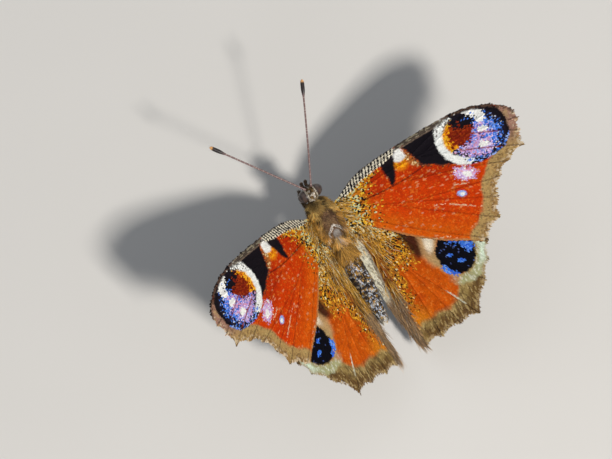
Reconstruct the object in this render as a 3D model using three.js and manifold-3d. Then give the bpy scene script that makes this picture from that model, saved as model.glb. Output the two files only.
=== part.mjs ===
// A peacock butterfly (Aglais io) at life size, basking on the ground with its wings spread.
// Millimetres, +Z up. The head points to +Y and the soles of the feet stand at z = 0.
import * as THREE from 'three';
import { mergeVertices } from 'three/addons/utils/BufferGeometryUtils.js';
import Module from 'manifold-3d';

const wasm = await Module();
wasm.setup();

const rad = THREE.MathUtils.degToRad;
const lerp = THREE.MathUtils.lerp;
const clamp = THREE.MathUtils.clamp;

// Stance: how the body is held over the ground
const BODY_HEIGHT = 10.6;
const BODY_PITCH = rad(25.7);
const BODY_ROLL = rad(-0.9);

// Clearance between neighbouring nodes
const GAP = 0.28;

// Thorax: rings from the neck to the waist, as place along the body, half-width and half-height
const THORAX_RINGS = [
  [2.85, 1.00, 1.12], [2.65, 1.36, 1.50], [2.10, 1.66, 1.86], [1.30, 1.92, 2.14], [0.30, 2.05, 2.34],
  [-0.80, 2.05, 2.40], [-1.70, 1.92, 2.28], [-2.30, 1.70, 2.02], [-2.90, 1.58, 1.86], [-3.40, 1.28, 1.42],
  [-3.70, 0.95, 1.02],
];
const TEGULA = { x: 1.42, y: 1.15, z: 1.30, wide: 0.62, long: 1.15, high: 0.55, lean: rad(38) };

// Abdomen: a tapering row of segments that narrows at the waist and at the tip
const ABDOMEN_FRONT = -3.98;
const ABDOMEN_BACK = -17.3;
const ABDOMEN_SINK_FRONT = -0.15;
const ABDOMEN_SINK_BACK = -0.90;
const ABDOMEN_HALF_WIDTH = 1.58;
const ABDOMEN_HALF_HEIGHT = 1.66;
const ABDOMEN_SEGMENTS = 8;
const ABDOMEN_WAIST_RADIUS = 0.95;
const ABDOMEN_TIP_SHARE = 0.13;
const ABDOMEN_GIRTH = { atWaist: 0.62, swelling: 1.9, widestAt: 0.25, taper: 0.80 };
const SEGMENT_SPAN = [0.01, 0.98];
const SEGMENT_RELIEF = [[0.12, -0.04], [0.45, 0.016], [0.85, 0.04]];

// Head with flat sides that carry the eyes
const HEAD_RINGS = [
  [3.13, 0.66, 0.86], [3.35, 0.73, 1.02], [3.80, 0.75, 1.14], [4.30, 0.75, 1.18], [4.75, 0.74, 1.10],
  [5.08, 0.66, 0.88], [5.28, 0.46, 0.56],
];
const HEAD_SQUARENESS = 2.7;
const EYE = { y: 4.30, z: 0.12, long: 0.84, high: 0.94, deep: 0.80, face: 0.75 + GAP };

// Feelers, palps and tongue: rings as place along the part and share of its radius
const ANTENNA = {
  base: [0.44, 5.26, 0.98], length: 14.6, shaft: 0.25, club: 0.44, clubLength: 2.1,
  shaftRings: [[0, 1.15], [0.02, 1.15], [0.05, 1], [0.2, 1], [0.4, 1], [0.6, 1], [0.816, 1]],
  clubRings: [[0, 0.66], [0.35, 0.88], [0.65, 1], [0.85, 0.92], [0.96, 0.62], [1, 0.3]],
  aside: { right: rad(27.5), left: rad(34.3) }, rise: { right: rad(-4.4), left: rad(-2.6) }, bow: 0.55,
};
const PALP = {
  base: [0.36, 5.72, -0.62], tip: [0.38, 6.46, 0.48], sag: 0.15, radius: 0.32, flatness: 0.8,
  rings: [[0, 0.78], [0.25, 0.95], [0.55, 1], [0.8, 0.7], [0.94, 0.44], [1, 0.17]],
};
const PROBOSCIS = { y: 4.75, z: -2.05, radius: 0.72, halfWidth: 0.25, turns: 3, groove: 0.07 };

// Sides of the round sections
const SIDES = { thorax: 28, abdomen: 22, head: 24, eye: 20, feeler: 10, leg: 10, tongue: 24 };

// Wing sheets and the veins raised on them; points of a row keep a least distance from each other
const WING_HALF_THICKNESS = 0.25;
const VEIN_RISE = 0.20;
const VEIN_RISE_BELOW = 0.08;
const VEIN_HALF_WIDTH = 0.30;
const VEIN_BOW = 1.2;
const CELL_STEP = 2.6;
const FORK_MARGIN = 0.02;
const LEAST_SPACING = { plain: 0.5, ofWidth: 0.12, vein: 0.3 };

// Where each wing is hinged and how it is held: dihedral lifts the tip, twist lifts the leading edge
const FORE_HINGE = [2.27, 0, 0.6];
const HIND_HINGE = [2.46, -2.32, 0.22];
const POSE = {
  right: {
    fore: { dihedral: rad(26.9), twist: rad(-22.1) },
    hind: { dihedral: rad(38.1), twist: rad(-8.3) },
  },
  left: {
    fore: { dihedral: rad(41.0), twist: rad(-3.8) },
    hind: { dihedral: rad(37.4), twist: rad(-8.5) },
  },
};
const CAMBER = { height: 0.35, reach: 6, atRoot: 0.1 };
const ANAL_FOLD = { width: 2.6, drop: 0.9, reach: 6 };

// The hindwing passes this far under the forewing and regains its own plane behind it
const UNDER_FOREWING = 1.12;
const UNDER_MARGIN = [0.8, 4.2];
const UNDER_SOFTNESS = 0.25;

// Wing outlines, in millimetres outward and forward of the hinge
const FOREWING = {
  rows: [0, 0.07, 0.15, 0.24, 0.33, 0.42, 0.47, 0.55, 0.64, 0.73, 0.81, 0.88, 0.94, 1],
  costa: [
    [0, 1.3], [3.6, 3.2], [7.6, 4.0], [11.6, 4.4], [16, 4.7], [20.4, 4.75], [24.2, 4.0], [26.9, 2.6],
    [28.3, 1.2],
  ],
  inner: [[0, -1.0], [1.7, -2.8], [4.8, -5.4], [7.9, -7.9], [11.4, -10.2], [15.2, -12.1], [16.6, -13.0]],
  scallop: 0.55,
  veins: [
    { name: 'subcosta', from: { point: [0, 0.95] }, to: [16.6, 4.66], until: 0.60, bow: 0.75 },
    { name: 'radius1', from: { vein: 'radius', at: 0.38 }, to: [20.6, 4.7], until: 0.75, bow: 0.15 },
    { name: 'radius2', from: { vein: 'radius', at: 0.50 }, to: [23.6, 4.2], until: 0.85, bow: 0.15 },
    { name: 'radius3', from: { vein: 'radius', at: 0.64 }, to: [26.4, 2.95], until: 0.95, bow: 0.1 },
    { name: 'radius', from: { point: [0, 0.6] }, to: [28.6, 0.1], bow: 2.0 },
    { name: 'radius5', from: { vein: 'radius', at: 0.74 }, to: [28.1, -1.6], bow: 0.1 },
    { name: 'media1', from: { vein: 'radius', at: 0.44 }, to: [27.9, -3.8], bow: 0.5 },
    { name: 'media2', from: { between: ['radius', 'cubitus'], at: 0.45, share: 0.5 }, to: [24.9, -4.75],
      bow: 0.3 },
    { name: 'media3', from: { vein: 'cubitus', at: 0.46 }, to: [22.8, -6.1], bow: -0.1 },
    { name: 'cubitus', from: { point: [0, 0.05] }, to: [21.4, -8.5], bow: 0.35 },
    { name: 'cubitus2', from: { vein: 'cubitus', at: 0.31 }, to: [20.4, -11.1], bow: -0.2 },
    { name: 'anal2', from: { point: [0, -0.5] }, to: [17.4, -12.8], bow: -0.6 },
  ],
};
const HINDWING = {
  rows: [0, 0.07, 0.16, 0.26, 0.36, 0.45, 0.54, 0.63, 0.72, 0.80, 0.87, 0.94, 1],
  costa: [[0, 0.5], [3.2, 1.5], [7.2, 1.4], [11.2, 0.2], [14.8, -2.2], [17.3, -5.0], [18.4, -7.2]],
  inner: [[0, -1.0], [-0.3, -4.6], [-0.55, -9.0], [-0.4, -13.4], [0.3, -17.4], [1.2, -19.9]],
  scallop: 0.6,
  veins: [
    { name: 'radius1', from: { point: [0, 0.15] }, to: [18.6, -8.0], bow: 2.2 },
    { name: 'sector', from: { vein: 'radius1', at: 0.24 }, to: [18.0, -10.0], bow: 0.9 },
    { name: 'media1', from: { vein: 'sector', at: 0.42 }, to: [16.9, -12.4], bow: 0.3 },
    { name: 'media2', from: { between: ['sector', 'cubitus'], at: 0.43, share: 0.45 }, to: [15.0, -14.8],
      bow: 0.1 },
    { name: 'media3', from: { vein: 'cubitus', at: 0.46 }, to: [11.8, -18.9], bow: 0.3 },
    { name: 'cubitus', from: { point: [0, -0.25] }, to: [8.5, -19.1], bow: 1.5 },
    { name: 'cubitus2', from: { vein: 'cubitus', at: 0.34 }, to: [5.1, -19.7], bow: 0.4 },
    { name: 'anal2', from: { point: [0, -0.6] }, to: [2.3, -20.1], bow: 0.9 },
  ],
};

// Legs: root and coxa in the body's frame, knee, ankle and toe over the ground, for the right side
const LEG_CLEARANCE = 0.3;
const LEG_RADII = { coxa: 0.45, femur: 0.40, knee: 0.33, tibia: 0.27, tarsus: 0.27, claw: 0.21 };
const FEMUR_SWELL = 1.12;
const SOLE_HEIGHT = 0.17;
const ANKLE_HEIGHT = 0.62;
const HEEL_SHARE = 0.28;
const WALKING_LEGS = {
  midleg: {
    root: [1.0, -0.2], coxa: [1.3, -0.5, -3.35], knee: [5.0, 2.1, 5.7], ankle: [7.1, 3.0],
    toe: [10.4, 4.6],
  },
  hindleg: {
    root: [0.95, -2.2], coxa: [1.2, -2.7, -3.1], knee: [3.9, -4.4, 5.1], ankle: [5.6, -7.5],
    toe: [7.4, -10.9],
  },
};
const FORELEG = {
  root: [0.8, 1.5],
  points: [[0.90, 1.75, -2.60], [0.98, 3.0, -2.85], [0.86, 4.0, -2.60], [0.78, 4.6, -2.25]],
  rings: [[0, 0.36], [0.25, 0.36], [0.5, 0.33], [0.75, 0.28], [0.97, 0.25], [1, 0.12]],
};

const COLOURS = {
  wing: 0xb4441c, fur: 0x5d4630, abdomen: 0x3b342c, eye: 0x4a3a33, leg: 0x54402c, antenna: 0x5a4a48,
};

// Shape helpers

/* One closed mesh with its faces pointing out and its shared corners merged. */
function closedShape(geometry) {
  geometry.deleteAttribute('normal');
  geometry.deleteAttribute('uv');
  const merged = mergeVertices(geometry, 1e-4);
  const position = merged.attributes.position;
  const corners = Array.from(merged.index.array);
  const kept = [];
  const [a, b, c] = [new THREE.Vector3(), new THREE.Vector3(), new THREE.Vector3()];
  let volume = 0;
  for (let i = 0; i < corners.length; i += 3) {
    const [p, q, r] = corners.slice(i, i + 3);
    if (p === q || q === r || r === p) continue;
    kept.push([p, q, r]);
    volume += a.fromBufferAttribute(position, p)
      .dot(b.fromBufferAttribute(position, q).cross(c.fromBufferAttribute(position, r)));
  }
  merged.setIndex((volume < 0 ? kept.map(([p, q, r]) => [p, r, q]) : kept).flat());
  return merged;
}

/* The curve's frame: a point with its sideways and upward directions. */
function frameAt(path, t, upward) {
  const point = path.getPoint(t);
  const along = path.getTangent(t);
  const side = new THREE.Vector3().crossVectors(along, upward).normalize();
  const up = new THREE.Vector3().crossVectors(side, along).normalize();
  return { point, side, up };
}

/* A closed oval tube: a lathe of unit height whose axis is bent to the path. Each ring is its
   place from 0 to 1, its half-width and its half-height; power above 2 squares the section. */
function limb(path, rings, sides, { upward = new THREE.Vector3(0, 0, 1), power = 2 } = {}) {
  const first = rings[0][0];
  const last = rings[rings.length - 1][0];
  const profile = [[first, 0, 0], ...rings, [last, 0, 0]];
  const outline = profile.map(([t], i) => new THREE.Vector2(i % (profile.length - 1) ? 1 : 0, t));
  const lathe = new THREE.LatheGeometry(outline, sides);
  const position = lathe.attributes.position;
  const frames = profile.map(([t]) => frameAt(path, clamp(t, 0, 1), upward));
  const squared = (value) => Math.sign(value) * Math.abs(value) ** (2 / power);
  for (let i = 0; i < position.count; i += 1) {
    const ring = i % profile.length;
    const { point, side, up } = frames[ring];
    const turn = (2 * Math.PI * Math.floor(i / profile.length)) / sides;
    const across = profile[ring][1] * squared(Math.cos(turn));
    const over = profile[ring][2] * squared(Math.sin(turn));
    const place = point.clone().addScaledVector(side, across).addScaledVector(up, over);
    position.setXYZ(i, place.x, place.y, place.z);
  }
  return closedShape(lathe);
}

const vector = ([x, y, z]) => new THREE.Vector3(x, y, z);
const smoothPath = (points) => new THREE.CatmullRomCurve3(points.map(vector), false, 'centripetal');

/* Rings given by a place along the body become rings along a straight path from front to back. */
function bodyOfRings(rings, sides, power) {
  const front = rings[0][0];
  const back = rings[rings.length - 1][0];
  const path = new THREE.LineCurve3(vector([0, front, 0]), vector([0, back, 0]));
  const placed = rings.map(([y, wide, high]) => [(front - y) / (front - back), wide, high]);
  return limb(path, placed, sides, { power });
}

function toManifold(geometry) {
  return new wasm.Manifold(new wasm.Mesh({
    numProp: 3,
    vertProperties: new Float32Array(geometry.attributes.position.array),
    triVerts: new Uint32Array(geometry.index.array),
  }));
}

/* The union of closed shapes as one mesh. */
function joined(shapes) {
  return fromManifold(shapes.map(toManifold).reduce((sum, next) => sum.add(next)));
}

function fromManifold(shape) {
  const mesh = shape.getMesh();
  const geometry = new THREE.BufferGeometry();
  geometry.setAttribute('position', new THREE.BufferAttribute(new Float32Array(mesh.vertProperties), 3));
  geometry.setIndex(Array.from(mesh.triVerts));
  return closedShape(geometry);
}

// Body

/* The thorax's half-width and half-height at a place along the body. */
function thoraxAt(y) {
  const inside = clamp(y, THORAX_RINGS[THORAX_RINGS.length - 1][0], THORAX_RINGS[0][0]);
  const next = THORAX_RINGS.findIndex(([place]) => place <= inside);
  const [y1, w1, h1] = THORAX_RINGS[Math.max(next, 1)];
  const [y0, w0, h0] = THORAX_RINGS[Math.max(next, 1) - 1];
  const share = (inside - y0) / (y1 - y0);
  return { wide: lerp(w0, w1, share), high: lerp(h0, h1, share) };
}

function thoraxSideAt(y, z) {
  const { wide, high } = thoraxAt(y);
  return wide * Math.sqrt(Math.max(0, 1 - (z / high) ** 2));
}

function thoraxUndersideAt(x, y) {
  const { wide, high } = thoraxAt(y);
  return -high * Math.sqrt(Math.max(0, 1 - (x / wide) ** 2));
}

function thorax() {
  const trunk = bodyOfRings(THORAX_RINGS, SIDES.thorax, 2);
  const shoulders = [1, -1].map((side) => {
    const plate = new THREE.SphereGeometry(1, 14, 10);
    plate.scale(TEGULA.wide, TEGULA.long, TEGULA.high);
    plate.rotateY(side * TEGULA.lean);
    plate.translate(side * TEGULA.x, TEGULA.y, TEGULA.z);
    return closedShape(plate);
  });
  return joined([trunk, ...shoulders]);
}

function abdomen() {
  const path = new THREE.QuadraticBezierCurve3(
    vector([0, ABDOMEN_FRONT, ABDOMEN_SINK_FRONT]),
    vector([0, lerp(ABDOMEN_FRONT, ABDOMEN_BACK, 0.5), ABDOMEN_SINK_FRONT]),
    vector([0, ABDOMEN_BACK, ABDOMEN_SINK_BACK]),
  );
  const [first, last] = SEGMENT_SPAN;
  const rings = [[0, ABDOMEN_WAIST_RADIUS / ABDOMEN_HALF_WIDTH, ABDOMEN_WAIST_RADIUS / ABDOMEN_HALF_HEIGHT]];
  for (let segment = 0; segment < ABDOMEN_SEGMENTS; segment += 1) {
    for (const [share, relief] of SEGMENT_RELIEF) {
      const t = lerp(first, last, (segment + share) / ABDOMEN_SEGMENTS);
      const girth = abdomenGirth(t) * (1 + relief);
      rings.push([t, girth, girth]);
    }
  }
  rings.push([1, ABDOMEN_TIP_SHARE, ABDOMEN_TIP_SHARE]);
  const sized = rings.map(([t, wide, high]) => [t, wide * ABDOMEN_HALF_WIDTH, high * ABDOMEN_HALF_HEIGHT]);
  return limb(path, sized, SIDES.abdomen);
}

/* The abdomen's girth as a share of its widest, from the waist to the tip. */
function abdomenGirth(t) {
  const { atWaist, swelling, widestAt, taper } = ABDOMEN_GIRTH;
  const narrowing = Math.max(0, t - widestAt) / taper;
  return Math.min(1, atWaist + swelling * t) * Math.sqrt(Math.max(0, 1 - narrowing ** 2));
}

function head() {
  return bodyOfRings(HEAD_RINGS, SIDES.head, HEAD_SQUARENESS);
}

/* A domed eye whose flat inner face lies along the flat side of the head. */
function eye(side) {
  const steps = 7;
  const dome = Array.from({ length: steps }, (_, i) => (Math.PI / 2) * (i / steps));
  const arc = dome.map((angle) => new THREE.Vector2(Math.cos(angle), Math.sin(angle)));
  const profile = [new THREE.Vector2(0, 0), ...arc, new THREE.Vector2(0, 1)];
  const shape = new THREE.LatheGeometry(profile, SIDES.eye);
  shape.scale(EYE.long, EYE.deep, EYE.high);
  shape.rotateZ(-side * Math.PI / 2);
  shape.translate(side * EYE.face, EYE.y, EYE.z);
  return closedShape(shape);
}

function antenna(side) {
  const name = side > 0 ? 'right' : 'left';
  const aside = ANTENNA.aside[name];
  const rise = ANTENNA.rise[name];
  const base = vector([side * ANTENNA.base[0], ANTENNA.base[1], ANTENNA.base[2]]);
  const along = vector([side * Math.sin(aside), Math.cos(aside), Math.tan(rise)]).normalize();
  const tip = base.clone().addScaledVector(along, ANTENNA.length);
  const middle = base.clone().lerp(tip, 0.5).add(vector([0, 0, ANTENNA.bow]));
  const path = new THREE.QuadraticBezierCurve3(base, middle, tip);
  const clubStart = 1 - ANTENNA.clubLength / ANTENNA.length;
  const rings = [
    ...ANTENNA.shaftRings.map(([t, size]) => [t, size * ANTENNA.shaft]),
    ...ANTENNA.clubRings.map(([t, size]) => [lerp(clubStart, 1, t), size * ANTENNA.club]),
  ];
  return limb(path, rings.map(([t, radius]) => [t, radius, radius]), SIDES.feeler);
}

function palp(side) {
  const at = ([x, y, z], lift = 0) => [side * x, y, z + lift];
  const middle = PALP.base.map((value, i) => lerp(value, PALP.tip[i], 0.5));
  const path = smoothPath([at(PALP.base), at(middle, -PALP.sag), at(PALP.tip)]);
  const rings = PALP.rings.map(([t, size]) => [t, size * PALP.radius * PALP.flatness, size * PALP.radius]);
  return limb(path, rings, SIDES.feeler);
}

/* The coiled tongue: a flat disc whose faces show its turns as rings. */
function proboscis() {
  const face = [];
  const steps = PROBOSCIS.turns * 2;
  for (let i = 0; i <= steps; i += 1) {
    const share = i / steps;
    const height = PROBOSCIS.halfWidth - (i % 2 ? 0 : PROBOSCIS.groove);
    face.push([PROBOSCIS.radius * share, height]);
  }
  const upper = face.map(([r, h]) => new THREE.Vector2(r, h));
  const lower = face.map(([r, h]) => new THREE.Vector2(r, -h)).reverse();
  const shape = new THREE.LatheGeometry([...upper, ...lower], SIDES.tongue);
  shape.rotateZ(Math.PI / 2);
  shape.translate(0, PROBOSCIS.y, PROBOSCIS.z);
  return closedShape(shape);
}

// Legs

/* From the body's frame to the ground's. */
const stance = new THREE.Matrix4().makeTranslation(0, 0, BODY_HEIGHT)
  .multiply(new THREE.Matrix4().makeRotationX(BODY_PITCH))
  .multiply(new THREE.Matrix4().makeRotationY(BODY_ROLL));

/* A chain of tapering segments with a ball at each joint, cut level where it meets the ground. */
function walkingLeg(kind, side) {
  const { root: [rootX, rootY], coxa, knee, ankle, toe } = WALKING_LEGS[kind];
  const inBody = ([x, y, z]) => vector([side * x, y, z]).applyMatrix4(stance);
  const onGround = ([x, y], z) => vector([side * x, y, z]);
  const heel = ankle.map((value, i) => lerp(value, toe[i], HEEL_SHARE));
  const joints = [
    [inBody([rootX, rootY, thoraxUndersideAt(rootX, rootY) - LEG_CLEARANCE]), LEG_RADII.coxa],
    [inBody(coxa), LEG_RADII.femur],
    [onGround(knee, knee[2]), LEG_RADII.knee],
    [onGround(ankle, ANKLE_HEIGHT), LEG_RADII.tibia],
    [onGround(heel, SOLE_HEIGHT), LEG_RADII.tarsus],
    [onGround(toe, SOLE_HEIGHT), LEG_RADII.claw],
  ];
  const upward = vector([-side, 0, 0.35]);
  const pieces = joints.slice(1).flatMap(([end, endRadius], i) => {
    const [start, radius] = joints[i];
    const middle = lerp(radius, endRadius, 0.5) * (i === 1 ? FEMUR_SWELL : 1);
    const rings = [[0, radius, radius], [0.5, middle, middle], [1, endRadius, endRadius]];
    const bar = limb(new THREE.LineCurve3(start, end), rings, SIDES.leg, { upward });
    const ball = new THREE.IcosahedronGeometry(endRadius, 1).translate(end.x, end.y, end.z);
    return [bar, closedShape(ball)];
  });
  return fromManifold(toManifold(joined(pieces)).trimByPlane([0, 0, 1], 0));
}

function foreleg(side) {
  const [rootX, rootY] = FORELEG.root;
  const root = [rootX, rootY, thoraxUndersideAt(rootX, rootY) - LEG_CLEARANCE];
  const path = smoothPath([root, ...FORELEG.points].map(([x, y, z]) => [side * x, y, z]));
  const rings = FORELEG.rings.map(([t, radius]) => [t, radius, radius]);
  return limb(path, rings, SIDES.leg, { upward: new THREE.Vector3(side, 0, 0) });
}

// Wings

const planCurve = (points) => new THREE.SplineCurve(points.map(([x, y]) => new THREE.Vector2(x, y)));

/* A vein as a function of the share of the way from the wing's root to its margin. */
function veinCurves(wing) {
  const curves = {};
  const start = (from) => {
    if (from.point) return { at: 0, point: new THREE.Vector2(...from.point) };
    if (from.vein) return { at: from.at, point: curveOf(from.vein).point(from.at) };
    const [a, b] = from.between.map((name) => curveOf(name).point(from.at));
    return { at: from.at, point: a.clone().lerp(b, from.share) };
  };
  const curveOf = (name) => {
    if (curves[name]) return curves[name];
    const vein = wing.veins.find((entry) => entry.name === name);
    const { at, point } = start(vein.from);
    const end = new THREE.Vector2(...vein.to);
    const until = vein.until ?? 1;
    const across = end.clone().sub(point);
    const control = point.clone().lerp(end, 0.5)
      .add(new THREE.Vector2(-across.y, across.x).normalize().multiplyScalar(vein.bow * VEIN_BOW));
    const bezier = new THREE.QuadraticBezierCurve(point, control, end);
    curves[name] = { name, at, until, point: (v) => bezier.getPoint(clamp((v - at) / (until - at), 0, 1)) };
    return curves[name];
  };
  wing.veins.forEach(({ name }) => curveOf(name));
  return wing.veins.map(({ name }) => curves[name]);
}

/* The points of one row across the wing, from the front edge to the inner edge. */
function wingRow(wing, curves, costa, inner, v) {
  const edges = [{ label: 'costa', plan: costa.getPoint(v) }, { label: 'inner', plan: inner.getPoint(v) }];
  const width = edges[0].plan.distanceTo(edges[1].plan);
  const crests = [];
  let last = edges[0].plan;
  for (const curve of curves) {
    if (v < curve.at + FORK_MARGIN && curve.at > 0) continue;
    if (v > curve.until - FORK_MARGIN && curve.until < 1) continue;
    const plan = curve.point(v);
    const spare = Math.min(plan.distanceTo(last), plan.distanceTo(edges[1].plan));
    if (spare < Math.min(LEAST_SPACING.plain, width * LEAST_SPACING.ofWidth)) continue;
    crests.push({ label: curve.name, plan, crest: true });
    last = plan;
  }
  const marks = [edges[0], ...crests, edges[1]];
  const row = [];
  marks.forEach((mark, i) => {
    if (i > 0) {
      const before = marks[i - 1];
      const span = mark.plan.distanceTo(before.plan);
      const foot = Math.min(VEIN_HALF_WIDTH, span * LEAST_SPACING.vein);
      const along = mark.plan.clone().sub(before.plan).normalize();
      const from = before.plan.clone().addScaledVector(along, before.crest ? foot : 0);
      const to = mark.plan.clone().addScaledVector(along, mark.crest ? -foot : 0);
      const inwards = new THREE.Vector2(-along.y, along.x);
      const outwards = Math.sign(inwards.dot(before.plan.clone().lerp(mark.plan, 0.5))) || 1;
      const count = Math.max(1, Math.round((span - 2 * foot) / CELL_STEP));
      if (before.crest) row.push({ label: `${before.label} after`, plan: from });
      for (let k = 1; k <= count; k += 1) {
        const share = k / (count + 1);
        const dip = v === 1 ? wing.scallop * Math.min(1, span / 2) * Math.sin(Math.PI * share) : 0;
        const plan = from.clone().lerp(to, share).addScaledVector(inwards, -outwards * dip);
        row.push({ label: count === 1 ? `${before.label} cell` : '', plan });
      }
      if (mark.crest) row.push({ label: `${mark.label} before`, plan: to });
    }
    row.push(mark);
  });
  return row;
}

/* Triangles between two rows: points with a like label are joined, the rest fan between them. */
function zipped(rowA, rowB, startA, startB) {
  const triangles = [];
  const partner = ({ label }) => (label ? rowB.findIndex((other) => other.label === label) : -1);
  const shared = rowA.map((point, i) => [i, partner(point)]).filter(([, j]) => j >= 0);
  for (let s = 1; s < shared.length; s += 1) {
    let [i, j] = shared[s - 1];
    const [endI, endJ] = shared[s];
    while (i < endI || j < endJ) {
      const stepA = i < endI ? rowA[i + 1].plan.distanceTo(rowB[j].plan) : Infinity;
      const stepB = j < endJ ? rowB[j + 1].plan.distanceTo(rowA[i].plan) : Infinity;
      if (stepA <= stepB) {
        triangles.push([startA + i, startB + j, startA + i + 1]);
        i += 1;
      } else {
        triangles.push([startA + i, startB + j, startB + j + 1]);
        j += 1;
      }
    }
  }
  return triangles;
}

const softened = (value, softness) => softness * Math.log1p(Math.exp(clamp(value / softness, -30, 30)));

/* Height of the arched sheet over the wing's plane. */
function camberAt(plan, costa, inner) {
  const share = clamp(plan.x / costa.points[costa.points.length - 1].x, 0, 1);
  const front = costa.getPoint(share).y;
  const back = inner.getPoint(share).y;
  const across = clamp((2 * (plan.y - back)) / (front - back) - 1, -1, 1);
  return CAMBER.height * (1 - across * across) * Math.min(1, plan.x / CAMBER.reach + CAMBER.atRoot);
}

function wingTurn({ dihedral, twist }) {
  return new THREE.Matrix4().makeRotationY(-dihedral).multiply(new THREE.Matrix4().makeRotationX(twist));
}

/* Where a forewing point lies in the body's frame, on the right side. */
function forePlace(plan, pose, height) {
  return vector([plan.x, plan.y, height]).applyMatrix4(wingTurn(pose.fore)).add(vector(FORE_HINGE));
}

/* Where a hindwing point lies: on its own plane, but folded down along the abdomen and kept
   under the forewing. */
function hindPlace(plan, pose, height) {
  const fold = clamp(1 - plan.x / ANAL_FOLD.width, 0, 1) * clamp(-plan.y / ANAL_FOLD.reach, 0, 1);
  const place = vector([plan.x, plan.y, height - ANAL_FOLD.drop * fold * fold])
    .applyMatrix4(wingTurn(pose.hind)).add(vector(HIND_HINGE));
  const turn = wingTurn(pose.fore);
  const normal = vector([0, 0, 1]).applyMatrix4(turn);
  const above = place.clone().sub(vector(FORE_HINGE)).dot(normal);
  const inPlan = place.clone().sub(vector(FORE_HINGE)).applyMatrix4(turn.clone().transpose());
  const reach = FOREWING.inner[FOREWING.inner.length - 1][0];
  const margin = foreInner.getPoint(clamp(inPlan.x / reach, 0, 1)).y;
  const behind = clamp((margin - inPlan.y - UNDER_MARGIN[0]) / (UNDER_MARGIN[1] - UNDER_MARGIN[0]), 0, 1);
  const hold = 1 - behind * behind * (3 - 2 * behind);
  return place.addScaledVector(normal, -hold * softened(above + UNDER_FOREWING - height, UNDER_SOFTNESS));
}

const foreInner = planCurve(FOREWING.inner);

/* One wing: two like sheets, the veins raised on both, closed round the margin. */
function wingShape(wing, placeOf, pose, side) {
  const costa = planCurve(wing.costa);
  const inner = planCurve(wing.inner);
  const curves = veinCurves(wing);
  const rows = wing.rows.map((v) => wingRow(wing, curves, costa, inner, v));
  const starts = [];
  let count = 0;
  rows.forEach((row) => {
    starts.push(count);
    count += row.length;
  });
  const sheet = rows.slice(1).flatMap((row, k) => zipped(rows[k], row, starts[k], starts[k + 1]));
  const points = rows.flat();
  const position = new Float32Array(6 * count);
  const isVein = points.map((point) => Boolean(point.crest));
  for (const upper of [true, false]) {
    points.forEach((point, i) => {
      const middle = camberAt(point.plan, costa, inner);
      const rise = isVein[i] ? (upper ? VEIN_RISE : VEIN_RISE_BELOW) : 0;
      const offset = WING_HALF_THICKNESS + rise;
      const place = placeOf(point.plan, pose, middle + (upper ? offset : -offset));
      if (i < rows[0].length) place.x = thoraxSideAt(place.y, place.z) + GAP;
      const at = 3 * (upper ? i : i + count);
      position.set([side * place.x, place.y, place.z], at);
    });
  }
  const index = [];
  for (const [a, b, c] of sheet) index.push(a, b, c, a + count, c + count, b + count);
  const rim = [
    ...rows[0].map((_, i) => i),
    ...rows.slice(1).map((row, k) => starts[k + 1] + row.length - 1),
    ...rows[rows.length - 1].slice(0, -1).map((_, i) => starts[rows.length - 1] + i).reverse(),
    ...rows.slice(1, -1).map((_, k) => starts[k + 1]).reverse(),
  ];
  rim.forEach((from, i) => {
    const to = rim[(i + 1) % rim.length];
    index.push(from, to, to + count, from, to + count, from + count);
  });
  const geometry = new THREE.BufferGeometry();
  geometry.setAttribute('position', new THREE.BufferAttribute(position, 3));
  geometry.setIndex(index);
  return closedShape(geometry);
}

// The whole butterfly

function named(name, geometry, colour) {
  const material = new THREE.MeshStandardMaterial({ color: colour, roughness: 0.7, metalness: 0 });
  const mesh = new THREE.Mesh(geometry, material);
  mesh.name = name;
  return mesh;
}

const body = new THREE.Group();
body.applyMatrix4(stance);
body.add(named('head', head(), COLOURS.fur));
body.add(named('thorax', thorax(), COLOURS.fur));
body.add(named('abdomen', abdomen(), COLOURS.abdomen));
body.add(named('proboscis', proboscis(), COLOURS.antenna));

const butterfly = new THREE.Group();
butterfly.add(body);
for (const [word, side] of [['right', 1], ['left', -1]]) {
  body.add(named(`eye_${word}`, eye(side), COLOURS.eye));
  body.add(named(`antenna_${word}`, antenna(side), COLOURS.antenna));
  body.add(named(`palp_${word}`, palp(side), COLOURS.fur));
  body.add(named(`foreleg_${word}`, foreleg(side), COLOURS.leg));
  body.add(named(`forewing_${word}`, wingShape(FOREWING, forePlace, POSE[word], side), COLOURS.wing));
  body.add(named(`hindwing_${word}`, wingShape(HINDWING, hindPlace, POSE[word], side), COLOURS.wing));
  for (const kind of Object.keys(WALKING_LEGS)) {
    butterfly.add(named(`${kind}_${word}`, walkingLeg(kind, side), COLOURS.leg));
  }
}

const box = new THREE.Box3().setFromObject(butterfly, true);
const middle = box.getCenter(new THREE.Vector3());
butterfly.position.set(-middle.x, -middle.y, 0);
butterfly.updateMatrixWorld(true);

export default butterfly;
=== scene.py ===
"""A peacock butterfly basking with spread wings: skin, wing sheets, scales, fur, eyes, legs and feelers."""
import math

import bpy
import numpy as np
from mathutils import Matrix, Vector


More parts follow.
